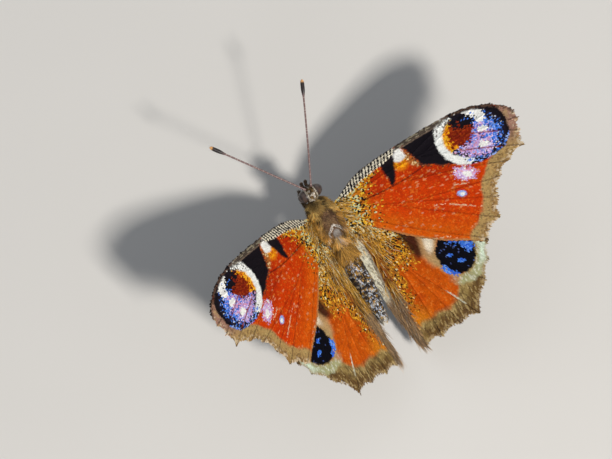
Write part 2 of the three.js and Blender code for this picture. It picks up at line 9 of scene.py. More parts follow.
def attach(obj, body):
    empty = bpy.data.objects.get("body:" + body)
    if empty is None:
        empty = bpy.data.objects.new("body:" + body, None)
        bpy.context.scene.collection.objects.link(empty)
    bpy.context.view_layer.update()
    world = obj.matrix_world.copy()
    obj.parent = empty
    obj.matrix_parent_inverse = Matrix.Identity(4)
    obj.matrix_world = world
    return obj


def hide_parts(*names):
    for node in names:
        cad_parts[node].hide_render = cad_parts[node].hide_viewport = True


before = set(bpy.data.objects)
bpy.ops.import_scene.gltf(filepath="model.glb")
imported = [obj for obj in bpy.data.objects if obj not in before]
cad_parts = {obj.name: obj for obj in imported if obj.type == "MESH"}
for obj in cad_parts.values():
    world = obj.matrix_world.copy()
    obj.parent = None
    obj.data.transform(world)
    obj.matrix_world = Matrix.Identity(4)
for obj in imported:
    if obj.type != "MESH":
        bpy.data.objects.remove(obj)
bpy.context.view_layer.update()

# Units: the shapes are worked out in millimetres in the body's frame, as in the solids
MM = 0.001
TURN = 2 * math.pi
SIDE = {"right": 1, "left": -1}

# Stance of the body over the ground
BODY_PITCH = math.radians(25.7)
BODY_ROLL = math.radians(-0.9)
THORAX_BACK = -3.70
THORAX_UNDERSIDE = -2.40

# Camera: a 300 mm lens at 0.7 m, nearly overhead, placed in the body's frame of the ground
CAMERA_DISTANCE = 700.0
CAMERA_LENS = 293.5
SENSOR_WIDTH = 36.0
CAMERA_RIGHT = (0.8196, -0.5721, 0.0314)
CAMERA_UP = (0.5400, 0.7896, 0.2914)
CAMERA_AIM_HEIGHT = -0.95
CAMERA_AIM_ASIDE = (-2.252, 1.832)
SUN_DIRECTION = (0.041, -0.608, 0.793)

# Wing pose: dihedral lifts the tip, twist lifts the leading edge
FORE_HINGE = (2.27, 0.0, 0.6)
HIND_HINGE = (2.46, -2.32, 0.22)
POSE = {
    "right": {"fore": (26.9, -22.1), "hind": (38.1, -8.3)},
    "left": {"fore": (41.0, -3.8), "hind": (37.4, -8.5)},
}
CAMBER = 0.35
ANAL_FOLD_WIDTH = 2.6
ANAL_FOLD_DROP = 0.9
UNDER_FOREWING = 1.12
UNDER_MARGIN = (0.8, 4.2)
UNDER_SOFTNESS = 0.25

# The wing sheet as rendered
SHEET_HALF = 0.05
VEIN_RISE = 0.10
VEIN_WIDTH = 0.11
CELL_SAG = 0.07
SCALE_LIFT = 0.014
SCALE_TILT = 0.035

FORE_COSTA = [(0, 1.3), (3.6, 3.2), (7.6, 4.0), (11.6, 4.4), (16, 4.7), (20.4, 4.75), (24.2, 4.0),
              (26.9, 2.6), (28.3, 1.2)]
FORE_INNER = [(0, -1.0), (1.7, -2.8), (4.8, -5.4), (7.9, -7.9), (11.4, -10.2), (15.2, -12.1), (16.6, -13.0)]
FORE_VEINS = {
    "subcosta": ((0, 0.95), (16.6, 4.66), 0.75),
    "radius": ((0, 0.6), (28.6, 0.1), 2.0),
    "radius1": (("radius", 0.38), (20.6, 4.7), 0.15),
    "radius2": (("radius", 0.50), (23.6, 4.2), 0.15),
    "radius3": (("radius", 0.64), (26.4, 2.95), 0.1),
    "radius5": (("radius", 0.74), (28.1, -1.6), 0.1),
    "media1": (("radius", 0.44), (27.9, -3.8), 0.5),
    "cubitus": ((0, 0.05), (21.4, -8.5), 0.35),
    "media2": (("radius", "cubitus", 0.45, 0.5), (24.9, -4.75), 0.3),
    "media3": (("cubitus", 0.46), (22.8, -6.1), -0.1),
    "cubitus2": (("cubitus", 0.31), (20.4, -11.1), -0.2),
    "anal2": ((0, -0.5), (17.4, -12.8), -0.6),
}
FORE_ENDS = ("radius", "radius5", "media1", "media2", "media3", "cubitus", "cubitus2", "anal2")
HIND_COSTA = [(0, 0.5), (3.2, 1.5), (7.2, 1.4), (11.2, 0.2), (14.8, -2.2), (17.3, -5.0), (18.4, -7.2)]
HIND_INNER = [(-1.1, -0.9), (-1.25, -3.4), (-1.2, -6.0), (-1.05, -9.4), (-0.75, -13.4), (0.25, -17.4),
              (1.2, -19.9)]
HIND_VEINS = {
    "radius1": ((0, 0.15), (18.6, -8.0), 2.2),
    "sector": (("radius1", 0.24), (18.0, -10.0), 0.9),
    "media1": (("sector", 0.42), (16.9, -12.4), 0.3),
    "cubitus": ((0, -0.25), (8.5, -19.1), 1.5),
    "media2": (("sector", "cubitus", 0.43, 0.45), (15.0, -14.8), 0.1),
    "media3": (("cubitus", 0.46), (11.8, -18.9), 0.3),
    "cubitus2": (("cubitus", 0.34), (5.1, -19.7), 0.4),
    "anal2": ((0, -0.6), (2.3, -20.1), 0.9),
}
HIND_ENDS = ("radius1", "sector", "media1", "media2", "media3", "cubitus", "cubitus2", "anal2")
SCALLOP = 0.55
BEZIER_BOW = 1.2
VEIN_STEPS = 41


# Small mathematics

FAR = 1e9
TINY = 1e-9


def turn_x(angle):
    c, s = math.cos(angle), math.sin(angle)
    return np.array([[1, 0, 0], [0, c, -s], [0, s, c]])


def turn_y(angle):
    c, s = math.cos(angle), math.sin(angle)
    return np.array([[c, 0, s], [0, 1, 0], [-s, 0, c]])


def smooth(low, high, value):
    """0 below low and 1 above high, with an S between them; low above high turns it round."""
    share = np.clip((value - low) / (high - low), 0, 1)
    return share * share * (3 - 2 * share)


def unit(vectors):
    """The vectors at length 1."""
    return vectors / np.maximum(np.linalg.norm(vectors, axis=-1, keepdims=True), TINY)


def lattice(column, row, seed):
    value = np.sin(column * 127.1 + row * 311.7 + seed * 74.7) * 43758.5453
    return value - np.floor(value)


def grain(x, y, size, seed):
    """Smooth noise from -1 to 1 with blobs of about this size in millimetres."""
    u, v = x / size, y / size
    i, j = np.floor(u), np.floor(v)
    a, b = u - i, v - j
    a, b = a * a * (3 - 2 * a), b * b * (3 - 2 * b)
    low = lattice(i, j, seed) * (1 - a) + lattice(i + 1, j, seed) * a
    high = lattice(i, j + 1, seed) * (1 - a) + lattice(i + 1, j + 1, seed) * a
    return 2 * (low * (1 - b) + high * b) - 1


def blotches(x, y, size, seed):
    """Noise from 0 to 1, with nothing in about half of the places."""
    return np.clip(grain(x, y, size, seed), 0, 1)


def spline(points, t):
    """The uniform Catmull-Rom curve through the points, with t from 0 to 1."""
    points = np.asarray(points, float)
    last = len(points) - 1
    place = np.clip(np.asarray(t, float), 0, 1) * last
    i = np.minimum(place.astype(int), last - 1)
    w = (place - i)[..., None]
    p0, p1 = points[np.maximum(i - 1, 0)], points[i]
    p2, p3 = points[i + 1], points[np.minimum(i + 2, last)]
    m1, m2 = (p2 - p0) / 2, (p3 - p1) / 2
    return (2 * p1 - 2 * p2 + m1 + m2) * w**3 + (-3 * p1 + 3 * p2 - 2 * m1 - m2) * w**2 + m1 * w + p1


def closed_spline(points, count=72):
    """A closed smooth outline through the points."""
    points = np.asarray(points, float)
    around = np.vstack([points[-1:], points, points[:2]])
    t = (np.arange(count) / count * len(points) + 1) / (len(around) - 1)
    return spline(around, t)


def distance_to_line(x, y, line):
    """Distance from each point to an open polyline."""
    best = np.full(np.shape(x), FAR)
    for (ax, ay), (bx, by) in zip(line[:-1], line[1:]):
        dx, dy = bx - ax, by - ay
        share = np.clip(((x - ax) * dx + (y - ay) * dy) / max(dx * dx + dy * dy, 1e-12), 0, 1)
        best = np.minimum(best, np.hypot(x - ax - share * dx, y - ay - share * dy))
    return best


def inside_outline(x, y, outline):
    """True where a point lies inside a closed outline."""
    inside = np.zeros(np.shape(x), bool)
    for (ax, ay), (bx, by) in zip(outline, np.roll(outline, -1, axis=0)):
        crosses = (ay > y) != (by > y)
        rise = (by - ay) if abs(by - ay) > 1e-12 else 1e-12
        inside ^= crosses & (x < (bx - ax) * (y - ay) / rise + ax)
    return inside


def depth_inside(x, y, outline):
    """Distance to a closed outline, positive inside it."""
    distance = distance_to_line(x, y, np.vstack([outline, outline[:1]]))
    return np.where(inside_outline(x, y, outline), distance, -distance)


def srgb(red, green, blue):
    """A linear colour from 8-bit display values."""
    values = np.array([red, green, blue], float) / 255
    return np.where(values <= 0.04045, values / 12.92, ((values + 0.055) / 1.055) ** 2.4)


def inked(paper, share, ink):
    """Lays an ink over the paper colours by a share from 0 to 1 at each point."""
    share = np.clip(share, 0, 1)[:, None]
    return paper * (1 - share) + np.asarray(ink) * share


def plain(colour, count):
    """The same colour at every point."""
    return np.tile(colour, (count, 1))


def layered(paper, layers):
    """Lays several inks over the paper, one after the other; each layer is a share and an ink."""
    for share, ink in layers:
        paper = inked(paper, share, ink)
    return paper


# The body's frame

STANCE = turn_x(BODY_PITCH) @ turn_y(BODY_ROLL)


def body_origin():
    """Where the body's origin lies over the ground, in millimetres, measured on the thorax."""
    thorax = np.array([v.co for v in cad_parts["thorax"].data.vertices]) / MM @ STANCE
    low, high = thorax.min(0), thorax.max(0)
    inside = np.array([(low[0] + high[0]) / 2, low[1] - THORAX_BACK, low[2] - THORAX_UNDERSIDE])
    return STANCE @ inside


ORIGIN = body_origin()


def to_ground(points):
    """From the body's frame in millimetres to the scene in metres."""
    return (np.asarray(points) @ STANCE.T + ORIGIN) * MM


# Mesh making

# Where the patches of the small pieces lie in the bake map, and how large each one is
PATCH_EDGE, PATCH_SPAN, PATCH_SIZE = 0.01, 0.98, 0.003


def make_mesh(name, points, corners, sizes, colours=None, patches=None, smooth_faces=True):
    """A mesh object from arrays, with its paint as a point attribute and its bake map if it has one."""
    mesh = bpy.data.meshes.new(name)
    sizes = np.asarray(sizes, np.int32)
    corners = np.asarray(corners, np.int32).ravel()
    mesh.vertices.add(len(points))
    mesh.vertices.foreach_set("co", np.asarray(points, np.float32).ravel())
    mesh.loops.add(len(corners))
    mesh.loops.foreach_set("vertex_index", corners)
    mesh.polygons.add(len(sizes))
    mesh.polygons.foreach_set("loop_start", np.concatenate([[0], np.cumsum(sizes)[:-1]]).astype(np.int32))
    mesh.update(calc_edges=True)
    if colours is not None:
        paint = mesh.color_attributes.new("Paint", "FLOAT_COLOR", "POINT")
        rgba = np.ones((len(points), 4), np.float32)
        rgba[:, :3] = np.clip(colours, 0, 1)
        paint.data.foreach_set("color", rgba.ravel())
    if patches is not None:
        layer = mesh.uv_layers.new(name="OFBake")
        layer.data.foreach_set("uv", np.asarray(patches, np.float32)[corners].ravel())
    mesh.polygons.foreach_set("use_smooth", np.full(len(sizes), smooth_faces))
    obj = bpy.data.objects.new(name, mesh)
    bpy.context.scene.collection.objects.link(obj)
    return obj


def grid_corners(rows, columns, offset=0, flip=False, wrap=False):
    """The quads of a grid of points stored row by row."""
    i, j = np.meshgrid(np.arange(rows - 1), np.arange(columns if wrap else columns - 1), indexing="ij")
    k = (j + 1) % columns
    quads = np.stack([i * columns + j, i * columns + k, (i + 1) * columns + k, (i + 1) * columns + j], -1)
    quads = quads.reshape(-1, 4) + offset
    return quads[:, ::-1] if flip else quads


def closed_faces(rows, sides, flip=False):
    """Corners and sizes of the faces of a tube of rings, with fans to the two points stored after them."""
    quads = grid_corners(rows, sides, wrap=True, flip=flip)
    near, far = np.roll(np.arange(sides), -1), np.arange(sides)
    if flip:
        near, far = far, near
    count, last = rows * sides, (rows - 1) * sides
    first_fan = np.stack([near, far, np.full(sides, count)], -1)
    last_fan = np.stack([far + last, near + last, np.full(sides, count + 1)], -1)
    corners = np.concatenate([quads.ravel(), first_fan.ravel(), last_fan.ravel()])
    return corners, np.concatenate([np.full(len(quads), 4), np.full(2 * sides, 3)])


def finished(obj, material, slot, *nodes):
    """Gives a piece its material, its ride and the solids that it stands for; its slot is not used."""
    obj.data.materials.append(material)
    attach(obj, "root")
    if nodes:
        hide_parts(*nodes)
    return obj


# Wings

class Wing:
    """The plan of one kind of wing, in millimetres outward and forward of its hinge."""

    def __init__(self, costa, inner, veins, ends):
        self.costa, self.inner = costa, inner
        self.veins = {}
        for name, (start, end, bow) in veins.items():
            self.veins[name] = self.vein_line(start, np.array(end, float), bow)
        self.margin = self.margin_line(ends)
        t = np.linspace(0, 1, 60)
        front, back = spline(costa, t), spline(inner, t)
        self.outline = np.vstack([front, self.margin[1:-1], back[::-1]])

    def vein_line(self, start, end, bow):
        steps = np.linspace(0, 1, VEIN_STEPS)[:, None]
        if len(start) == 2 and not isinstance(start[0], str):
            point, begin = np.array(start, float), 0.0
        elif len(start) == 2:
            point, begin = self.at(start[0], start[1]), start[1]
        else:
            first, second, begin, share = start
            point = self.at(first, begin) * (1 - share) + self.at(second, begin) * share
        across = end - point
        sideways = np.array([-across[1], across[0]]) / np.hypot(*across)
        control = (point + end) / 2 + sideways * bow * BEZIER_BOW
        line = (1 - steps) ** 2 * point + 2 * steps * (1 - steps) * control + steps**2 * end
        return begin, line

    def at(self, name, place):
        begin, line = self.veins[name]
        share = (place - begin) / (1 - begin)
        steps = np.linspace(0, 1, VEIN_STEPS)
        return np.array([np.interp(share, steps, line[:, k]) for k in (0, 1)])

    def margin_line(self, ends):
        """The scalloped outer edge, through the ends of the veins."""
        marks = [np.array(self.costa[-1], float)] + [self.veins[name][1][-1] for name in ends]
        marks.append(np.array(self.inner[-1], float))
        line = [marks[0]]
        for a, b in zip(marks[:-1], marks[1:]):
            span = np.hypot(*(b - a))
            inward = np.array([b[1] - a[1], a[0] - b[0]]) / max(span, 1e-6)
            if np.dot(inward, a) > 0:
                inward = -inward
            steps = max(2, int(span / 0.12))
            for k in range(1, steps + 1):
                share = k / steps
                dip = SCALLOP * min(1, span / 2) * math.sin(math.pi * share) ** 0.8
                line.append(a + (b - a) * share + inward * dip)
        return np.array(line)

    def grid(self, rows, columns):
        """Plan points in rows from the root to the margin and columns from front to back."""
        v = np.linspace(0, 1, rows)[:, None, None]
        u = np.linspace(0, 1, columns)[None, :, None]
        front, back = spline(self.costa, v[:, 0, 0])[:, None, :], spline(self.inner, v[:, 0, 0])[:, None, :]
        lengths = np.concatenate([[0], np.cumsum(np.hypot(*np.diff(self.margin, axis=0).T))])
        share = u[0, :, 0] * lengths[-1]
        edge = np.stack([np.interp(share, lengths, self.margin[:, k]) for k in (0, 1)], -1)[None]
        straight = front * (1 - u) + back * u
        end = front[-1:] * (1 - u) + back[-1:] * u
        return straight + v**2.2 * (edge - end)

    def from_margin(self, x, y):
        return distance_to_line(x, y, self.margin[::3])

    def from_vein(self, x, y, name):
        return distance_to_line(x, y, self.veins[name][1][::2])

    def vein_distance(self, x, y):
        """Distance to the nearest vein."""
        best = np.full(np.shape(x), FAR)
        for name in self.veins:
            best = np.minimum(best, self.from_vein(x, y, name))
        return best

    def patch(self, places):
        """Places on the plan as places in the bake map."""
        low, high = self.outline.min(0), self.outline.max(0)
        return PATCH_EDGE + PATCH_SPAN * (places - low) / (high - low).max()

    def relief(self, x, y):
        """Height of the middle of the sheet and of its veins over the wing's plane."""
        share = np.clip(x / self.costa[-1][0], 0, 1)
        front, back = spline(self.costa, share)[..., 1], spline(self.inner, share)[..., 1]
        across = np.clip(2 * (y - back) / (front - back) - 1, -1, 1)
        camber = CAMBER * (1 - across**2) * np.minimum(1, x / 6 + 0.1)
        vein = self.vein_distance(x, y)
        fade = smooth(0.2, 3.0, x)
        rise = VEIN_RISE * np.exp(-(vein / VEIN_WIDTH) ** 2)
        return camber - CELL_SAG * fade * smooth(0.1, 1.0, vein), rise


forewing = Wing(FORE_COSTA, FORE_INNER, FORE_VEINS, FORE_ENDS)
hindwing = Wing(HIND_COSTA, HIND_INNER, HIND_VEINS, HIND_ENDS)
WINGS = {"fore": forewing, "hind": hindwing}
# How far the root of each sheet reaches into the body, and over what share of the wing
ROOT_REACH = {"fore": 0.6, "hind": 1.1}
ROOT_SHARE = 0.03


def wing_turn(pose):
    dihedral, twist = pose
    return turn_y(-math.radians(dihedral)) @ turn_x(math.radians(twist))


def fore_place(x, y, height, word):
    """Forewing points in the body's frame, for the right side."""
    return np.stack([x, y, height], -1) @ wing_turn(POSE[word]["fore"]).T + np.array(FORE_HINGE)


def hind_place(x, y, height, word):
    """Hindwing points: their own plane, folded down along the abdomen and kept under the forewing."""
    fold = np.clip(1 - x / ANAL_FOLD_WIDTH, 0, 1) * np.clip(-y / 6, 0, 1)
    points = np.stack([x, y, height - ANAL_FOLD_DROP * fold**2], -1)
    place = points @ wing_turn(POSE[word]["hind"]).T + np.array(HIND_HINGE)
    turn = wing_turn(POSE[word]["fore"])
    normal = turn @ np.array([0, 0, 1.0])
    from_hinge = place - np.array(FORE_HINGE)
    above = from_hinge @ normal
    in_plan = from_hinge @ turn
    margin = spline(FORE_INNER, np.clip(in_plan[..., 0] / FORE_INNER[-1][0], 0, 1))[..., 1]
    behind = np.clip((margin - in_plan[..., 1] - UNDER_MARGIN[0]) / (UNDER_MARGIN[1] - UNDER_MARGIN[0]), 0, 1)
    hold = 1 - behind**2 * (3 - 2 * behind)
    excess = np.clip((above + UNDER_FOREWING - height) / UNDER_SOFTNESS, -30, 30)
    return place - (hold * UNDER_SOFTNESS * np.log1p(np.exp(excess)))[..., None] * normal


def wing_points(kind, x, y, lift, word):
    """Scene points on a wing, lifted off the middle of the sheet, on either face."""
    wing, place = (forewing, fore_place) if kind == "fore" else (hindwing, hind_place)
    middle, rise = wing.relief(x, y)
    height = middle + lift + np.sign(lift) * rise * np.where(lift < 0, 0.5, 1.0)
    points = place(x, y, height, word)
    points[..., 0] *= SIDE[word]
    return to_ground(points)


# Inks

# Shared by several parts
RED, ORANGE, DEEP_RED = srgb(205, 62, 8), srgb(214, 98, 14), srgb(168, 38, 10)
BLACK, SOOT, BARK = srgb(24, 20, 26), srgb(44, 34, 34), srgb(74, 52, 40)
WHITE, YELLOW, GOLD = srgb(240, 240, 236), srgb(240, 168, 24), srgb(206, 150, 42)
MAROON, LILAC, PINK = srgb(122, 32, 14), srgb(196, 160, 214), srgb(222, 150, 176)
BLUE, PALE_BLUE = srgb(64, 122, 224), srgb(150, 176, 236)
# Red ground, golden root and worn marks of the forewing
AMBER_FLECK, PEACH_STREAK, ROOT_BLACK = srgb(222, 120, 40), srgb(226, 176, 130), srgb(28, 22, 24)
ROOT_GOLD, ROOT_YELLOW, ROOT_RUST = srgb(214, 156, 36), srgb(244, 196, 60), srgb(150, 74, 16)
ROOT_GREEN, ROOT_TAWNY, VEIN_RED = srgb(206, 210, 164), srgb(186, 118, 30), srgb(70, 22, 14)
WORN, TAWNY, TAWNY_FLECK = srgb(226, 196, 160), srgb(160, 104, 50), srgb(232, 204, 150)
# Front edge and outer border of the forewing
TICK_CREAM, EDGE_GREY, EDGE_STREAK = srgb(236, 228, 204), srgb(78, 68, 60), srgb(150, 140, 118)
EDGE_LINE, EDGE_BROWN, TAN = srgb(126, 108, 92), srgb(92, 70, 58), srgb(178, 146, 92)
MAUVE, UMBER, STRAW = srgb(162, 122, 104), srgb(136, 98, 60), srgb(184, 160, 104)
FRINGE, INNER_TAN = srgb(226, 206, 174), srgb(170, 128, 78)
# Eyespot and violet spots of the forewing
PALE_LILAC, RING_WHITE, CORE_BLACK = srgb(214, 190, 232), srgb(238, 240, 236), srgb(34, 28, 44)
VIOLET, ICE_LILAC, PLUM = srgb(104, 122, 212), srgb(224, 206, 238), srgb(70, 48, 84)
COPPER, BRIGHT_GOLD, PUPIL_RUST = srgb(214, 120, 20), srgb(236, 190, 60), srgb(176, 70, 20)
EYE_VEIN = srgb(150, 60, 34)
# Hindwing
HIND_RED, HIND_ORANGE, HIND_RUST = srgb(188, 76, 12), srgb(204, 92, 14), srgb(150, 52, 10)
HIND_AMBER, HIND_FLECK, HIND_TAWNY = srgb(214, 140, 30), srgb(222, 130, 50), srgb(176, 114, 36)
SPECK_BLACK, SPECK_YELLOW, SPECK_RUST = srgb(34, 26, 22), srgb(236, 178, 52), srgb(170, 92, 22)
SPECK_PALE, BAR_BROWN, CREAM_TAN = srgb(232, 226, 178), srgb(46, 30, 24), srgb(188, 152, 104)
CREAM, SAND, BORDER_OLIVE = srgb(236, 226, 204), srgb(176, 150, 104), srgb(150, 128, 78)
BORDER_SHADE, BORDER_BROWN, BORDER_FRINGE = srgb(108, 84, 46), srgb(98, 70, 38), srgb(190, 166, 126)
BORDER_STREAK, BORDER_VEIN, MINT_GREY = srgb(196, 172, 116), srgb(40, 28, 20), srgb(178, 180, 136)
MINT, MINT_TAN, MINT_EDGE = srgb(212, 228, 206), srgb(166, 132, 72), srgb(150, 112, 74)
MINT_WHITE, EYE_BLACK, EYE_BLUE = srgb(240, 244, 232), srgb(14, 14, 22), srgb(76, 96, 160)
DEEP_BLUE, SKY_BLUE, VEIN_WHITE = srgb(46, 96, 214), srgb(110, 160, 244), srgb(214, 216, 196)
INNER_RUST, STRIP_CREAM, STRIP_BROWN = srgb(136, 74, 36), srgb(226, 222, 200), srgb(112, 84, 54)
STRIP_FLECK, INNER_HAIR = srgb(110, 100, 88), srgb(124, 104, 86)
# Underside of the wings
UNDER_DARK, UNDER_LINE, UNDER_PATCH = srgb(38, 31, 30), srgb(20, 16, 18), srgb(66, 54, 48)
UNDER_BAND, UNDER_VEIN, UNDER_FLECK = srgb(84, 72, 62), srgb(90, 76, 62), srgb(96, 84, 76)
# Thorax and head
OLIVE, GOLD_FUR, DARK_FUR = srgb(128, 99, 52), srgb(204, 152, 66), srgb(50, 38, 28)
BARE, FROST = srgb(98, 73, 54), srgb(204, 198, 188)
COLLAR_GOLD, COLLAR_TINT, PALE_TUFT = srgb(176, 144, 84), srgb(178, 148, 92), srgb(226, 190, 112)
MOSS, BARE_DARK, BARE_PALE = srgb(150, 140, 96), srgb(62, 44, 38), srgb(150, 120, 88)
SHIELD_GREY, SHIELD_BROWN, SEAM_WHITE = srgb(140, 135, 130), srgb(112, 96, 84), srgb(226, 220, 210)
SEAM_DARK, HEAD_BROWN = srgb(60, 44, 38), srgb(92, 70, 52)
# Abdomen
ABDOMEN_DARK, ABDOMEN_GOLD, BELLY = srgb(58, 51, 47), srgb(142, 108, 56), srgb(34, 28, 26)
SEGMENT_PALE, TAIL_PALE, BLUE_FLECK = srgb(190, 188, 178), srgb(206, 196, 176), srgb(196, 206, 222)
GOLD_FLECK, DARK_FLECK = srgb(186, 142, 62), srgb(32, 30, 36)
# Eyes, feelers, palps and tongue
DOME_BROWN, DOME_BAND, DOME_LOWER = srgb(70, 56, 50), srgb(24, 20, 22), srgb(118, 96, 78)
DOME_EDGE, RIM_PALE, RIM_DARK = srgb(196, 184, 166), srgb(204, 194, 172), srgb(66, 52, 42)
SHAFT, SHAFT_RING, SHAFT_UNDER = srgb(112, 84, 82), srgb(206, 190, 178), srgb(160, 130, 110)
CLUB, CLUB_TIP, PALP_BROWN = srgb(34, 26, 26), srgb(226, 170, 110), srgb(74, 58, 46)
TONGUE_BROWN, TONGUE_DARK = srgb(78, 50, 34), srgb(30, 20, 16)
# Legs
LEG_BROWN, LEG_PALE, LEG_DARK = srgb(96, 72, 50), srgb(168, 140, 104), srgb(54, 40, 32)
# Hair of the wing roots and the limbs
HAIR_GOLD, HAIR_DARK, HAIR_BRIGHT = srgb(160, 120, 58), srgb(58, 44, 30), srgb(226, 172, 72)
HAIR_PALE, HAIR_DULL, PALP_HAIR = srgb(214, 204, 168), srgb(132, 114, 98), srgb(62, 48, 38)
PALP_HAIR_PALE, FORELEG_HAIR, FORELEG_HAIR_PALE = srgb(128, 108, 84), srgb(82, 64, 48), srgb(160, 138, 108)
LEG_HAIR, LEG_HAIR_PALE = srgb(88, 68, 50), srgb(172, 148, 116)


# Markings of the forewing, as shapes on its plan

BAR_ONE = [(7.9, 3.3), (9.0, 3.75), (10.15, 3.8), (9.9, 2.4), (9.4, 0.9), (8.8, -0.25), (8.35, -0.3),
           (8.15, 0.9)]
BAR_TWO = [(11.7, 3.95), (14.4, 4.35), (18.2, 4.4), (17.3, 3.2), (17.0, 1.6), (17.1, 0.2), (17.9, -1.2),
           (18.5, -1.95), (16.6, -1.35), (14.7, -0.40), (13.5, 0.15), (12.8, 1.4), (12.3, 2.7)]
WHITE_PATCH = [(10.25, 3.95), (11.3, 3.95), (11.65, 2.9), (11.7, 2.3), (10.9, 2.1), (10.1, 2.3), (9.85, 2.9)]
YELLOW_PATCH = [(9.85, 2.5), (11.0, 2.6), (11.7, 2.4), (11.9, 1.5), (11.2, 1.1), (10.3, 1.1), (9.7, 1.8)]
TAWNY_EDGE = [(11.5, 3.3), (12.1, 3.0), (12.6, 1.9), (13.2, 0.7), (12.7, 0.4), (12.0, 1.2), (11.5, 2.2)]
EYESPOT = [(17.4, 4.6), (16.5, 2.9), (16.3, 1.3), (16.8, -0.4), (18.1, -1.9), (20.0, -2.85), (22.2, -3.1),
           (24.6, -2.8), (26.3, -1.6), (26.85, 0.4), (26.5, 2.2), (25.3, 3.8), (23.4, 4.8), (20.4, 5.1)]
EYE_CORE = [(18.5, 3.5), (17.6, 2.3), (17.6, 0.6), (18.5, -0.9), (20.1, -1.9), (22.3, -2.7), (24.6, -2.6),
            (25.9, -1.3), (26.3, 0.3), (25.7, 2.0), (24.2, 3.5), (22.0, 4.1), (20.0, 4.05)]
PUPIL = [(18.75, 2.9), (20.0, 3.4), (21.6, 2.9), (22.1, 1.5), (21.3, 0.45), (19.9, 0.15), (18.8, 0.6),
         (18.5, 1.7)]
PUPIL_SHADE = [(19.1, 3.7), (20.6, 4.1), (22.2, 3.9), (22.8, 2.8), (22.0, 2.1), (21.0, 2.3), (19.9, 2.6)]
LILAC_FIELD = [(18.6, 0.1), (20.0, 0.0), (21.5, 0.3), (22.2, 1.6), (23.4, 2.2), (24.6, 1.0), (24.5, -1.2),
               (23.1, -2.6), (20.8, -2.1), (19.2, -1.0)]
PALE_CORNER = [(21.4, 4.25), (22.9, 4.35), (24.1, 3.3), (24.3, 2.2), (23.4, 2.1), (22.4, 3.2)]
# Ellipses: centre, radii and turn in degrees
OUTER_FLUSH = ((15.2, -1.2), (3.0, 1.1), -25)
CELL_FLUSH = ((6.3, 1.2), (2.4, 1.5), 20)
FIRST_HAZE, FIRST_SPOT = ((18.45, -3.5), (1.85, 1.12), -32), ((18.65, -3.65), (0.75, 0.42), -32)
SECOND_RIM, SECOND_SPOT = ((16.85, -5.75), (0.7, 0.45), -38), ((16.85, -5.75), (0.68, 0.42), -38)
SECOND_HEART = ((16.9, -5.8), (0.45, 0.28), -38)
EYE_GLINTS = (((23.35, 0.95), (0.62, 0.36), -22), ((22.6, -1.05), (0.62, 0.36), -22))
# Lines, and the spacing of the ticks at the front edge and of the lines underneath
TICK_SPACING, UNDER_LINE_SPACING = 0.54, 0.62
CELL_LINE = [(2.5, -0.3), (7.0, -0.5), (10.5, -0.4), (14.0, 0.1)]
WORN_STREAKS = [((12.6, -5.5), (14.0, -6.0)), ((14.6, -6.3), (19.4, -9.0)), ((16.2, -4.2), (18.4, -4.9)),
                ((9.0, -9.1), (12.8, -10.3)), ((10.4, -5.6), (11.2, -5.9))]


def scatter(x, y, size, seed):
    """A separate random value from 0 to 1 in each small cell of the wing."""
    return lattice(np.floor(x / size), np.floor(y / size), seed)


def within(x, y, points, soft, wobble=0.0):
    """1 inside a smooth outline and 0 outside, with a soft edge."""
    return smooth(-soft, soft, depth_inside(x, y, closed_spline(points)) + wobble)


def ellipse(x, y, centre, radii, tilt=0.0):
    """How far out of an ellipse each point is: 1 on its edge."""
    c, s = math.cos(math.radians(tilt)), math.sin(math.radians(tilt))
    dx, dy = x - centre[0], y - centre[1]
    return np.hypot((dx * c + dy * s) / radii[0], (-dx * s + dy * c) / radii[1])


def mixed(x, y, size, seed, inks, shares):
    """Single scales of several inks side by side, each with its share of them."""
    draw = scatter(x, y, size, seed)
    colour = plain(inks[0], len(x))
    total = np.zeros(len(x))
    for ink, share in zip(inks[1:], shares):
        colour = np.where(((draw >= total) & (draw < total + share))[:, None], ink, colour)
        total = total + share
    return colour


def streaky(x, y, seed, long=0.5, fine=0.2):
    """A random value for each of many small marks that lie along the wing."""
    return lattice(np.floor(x / long + 0.5 * np.floor(y / fine) % 1), np.floor(y / fine), seed)


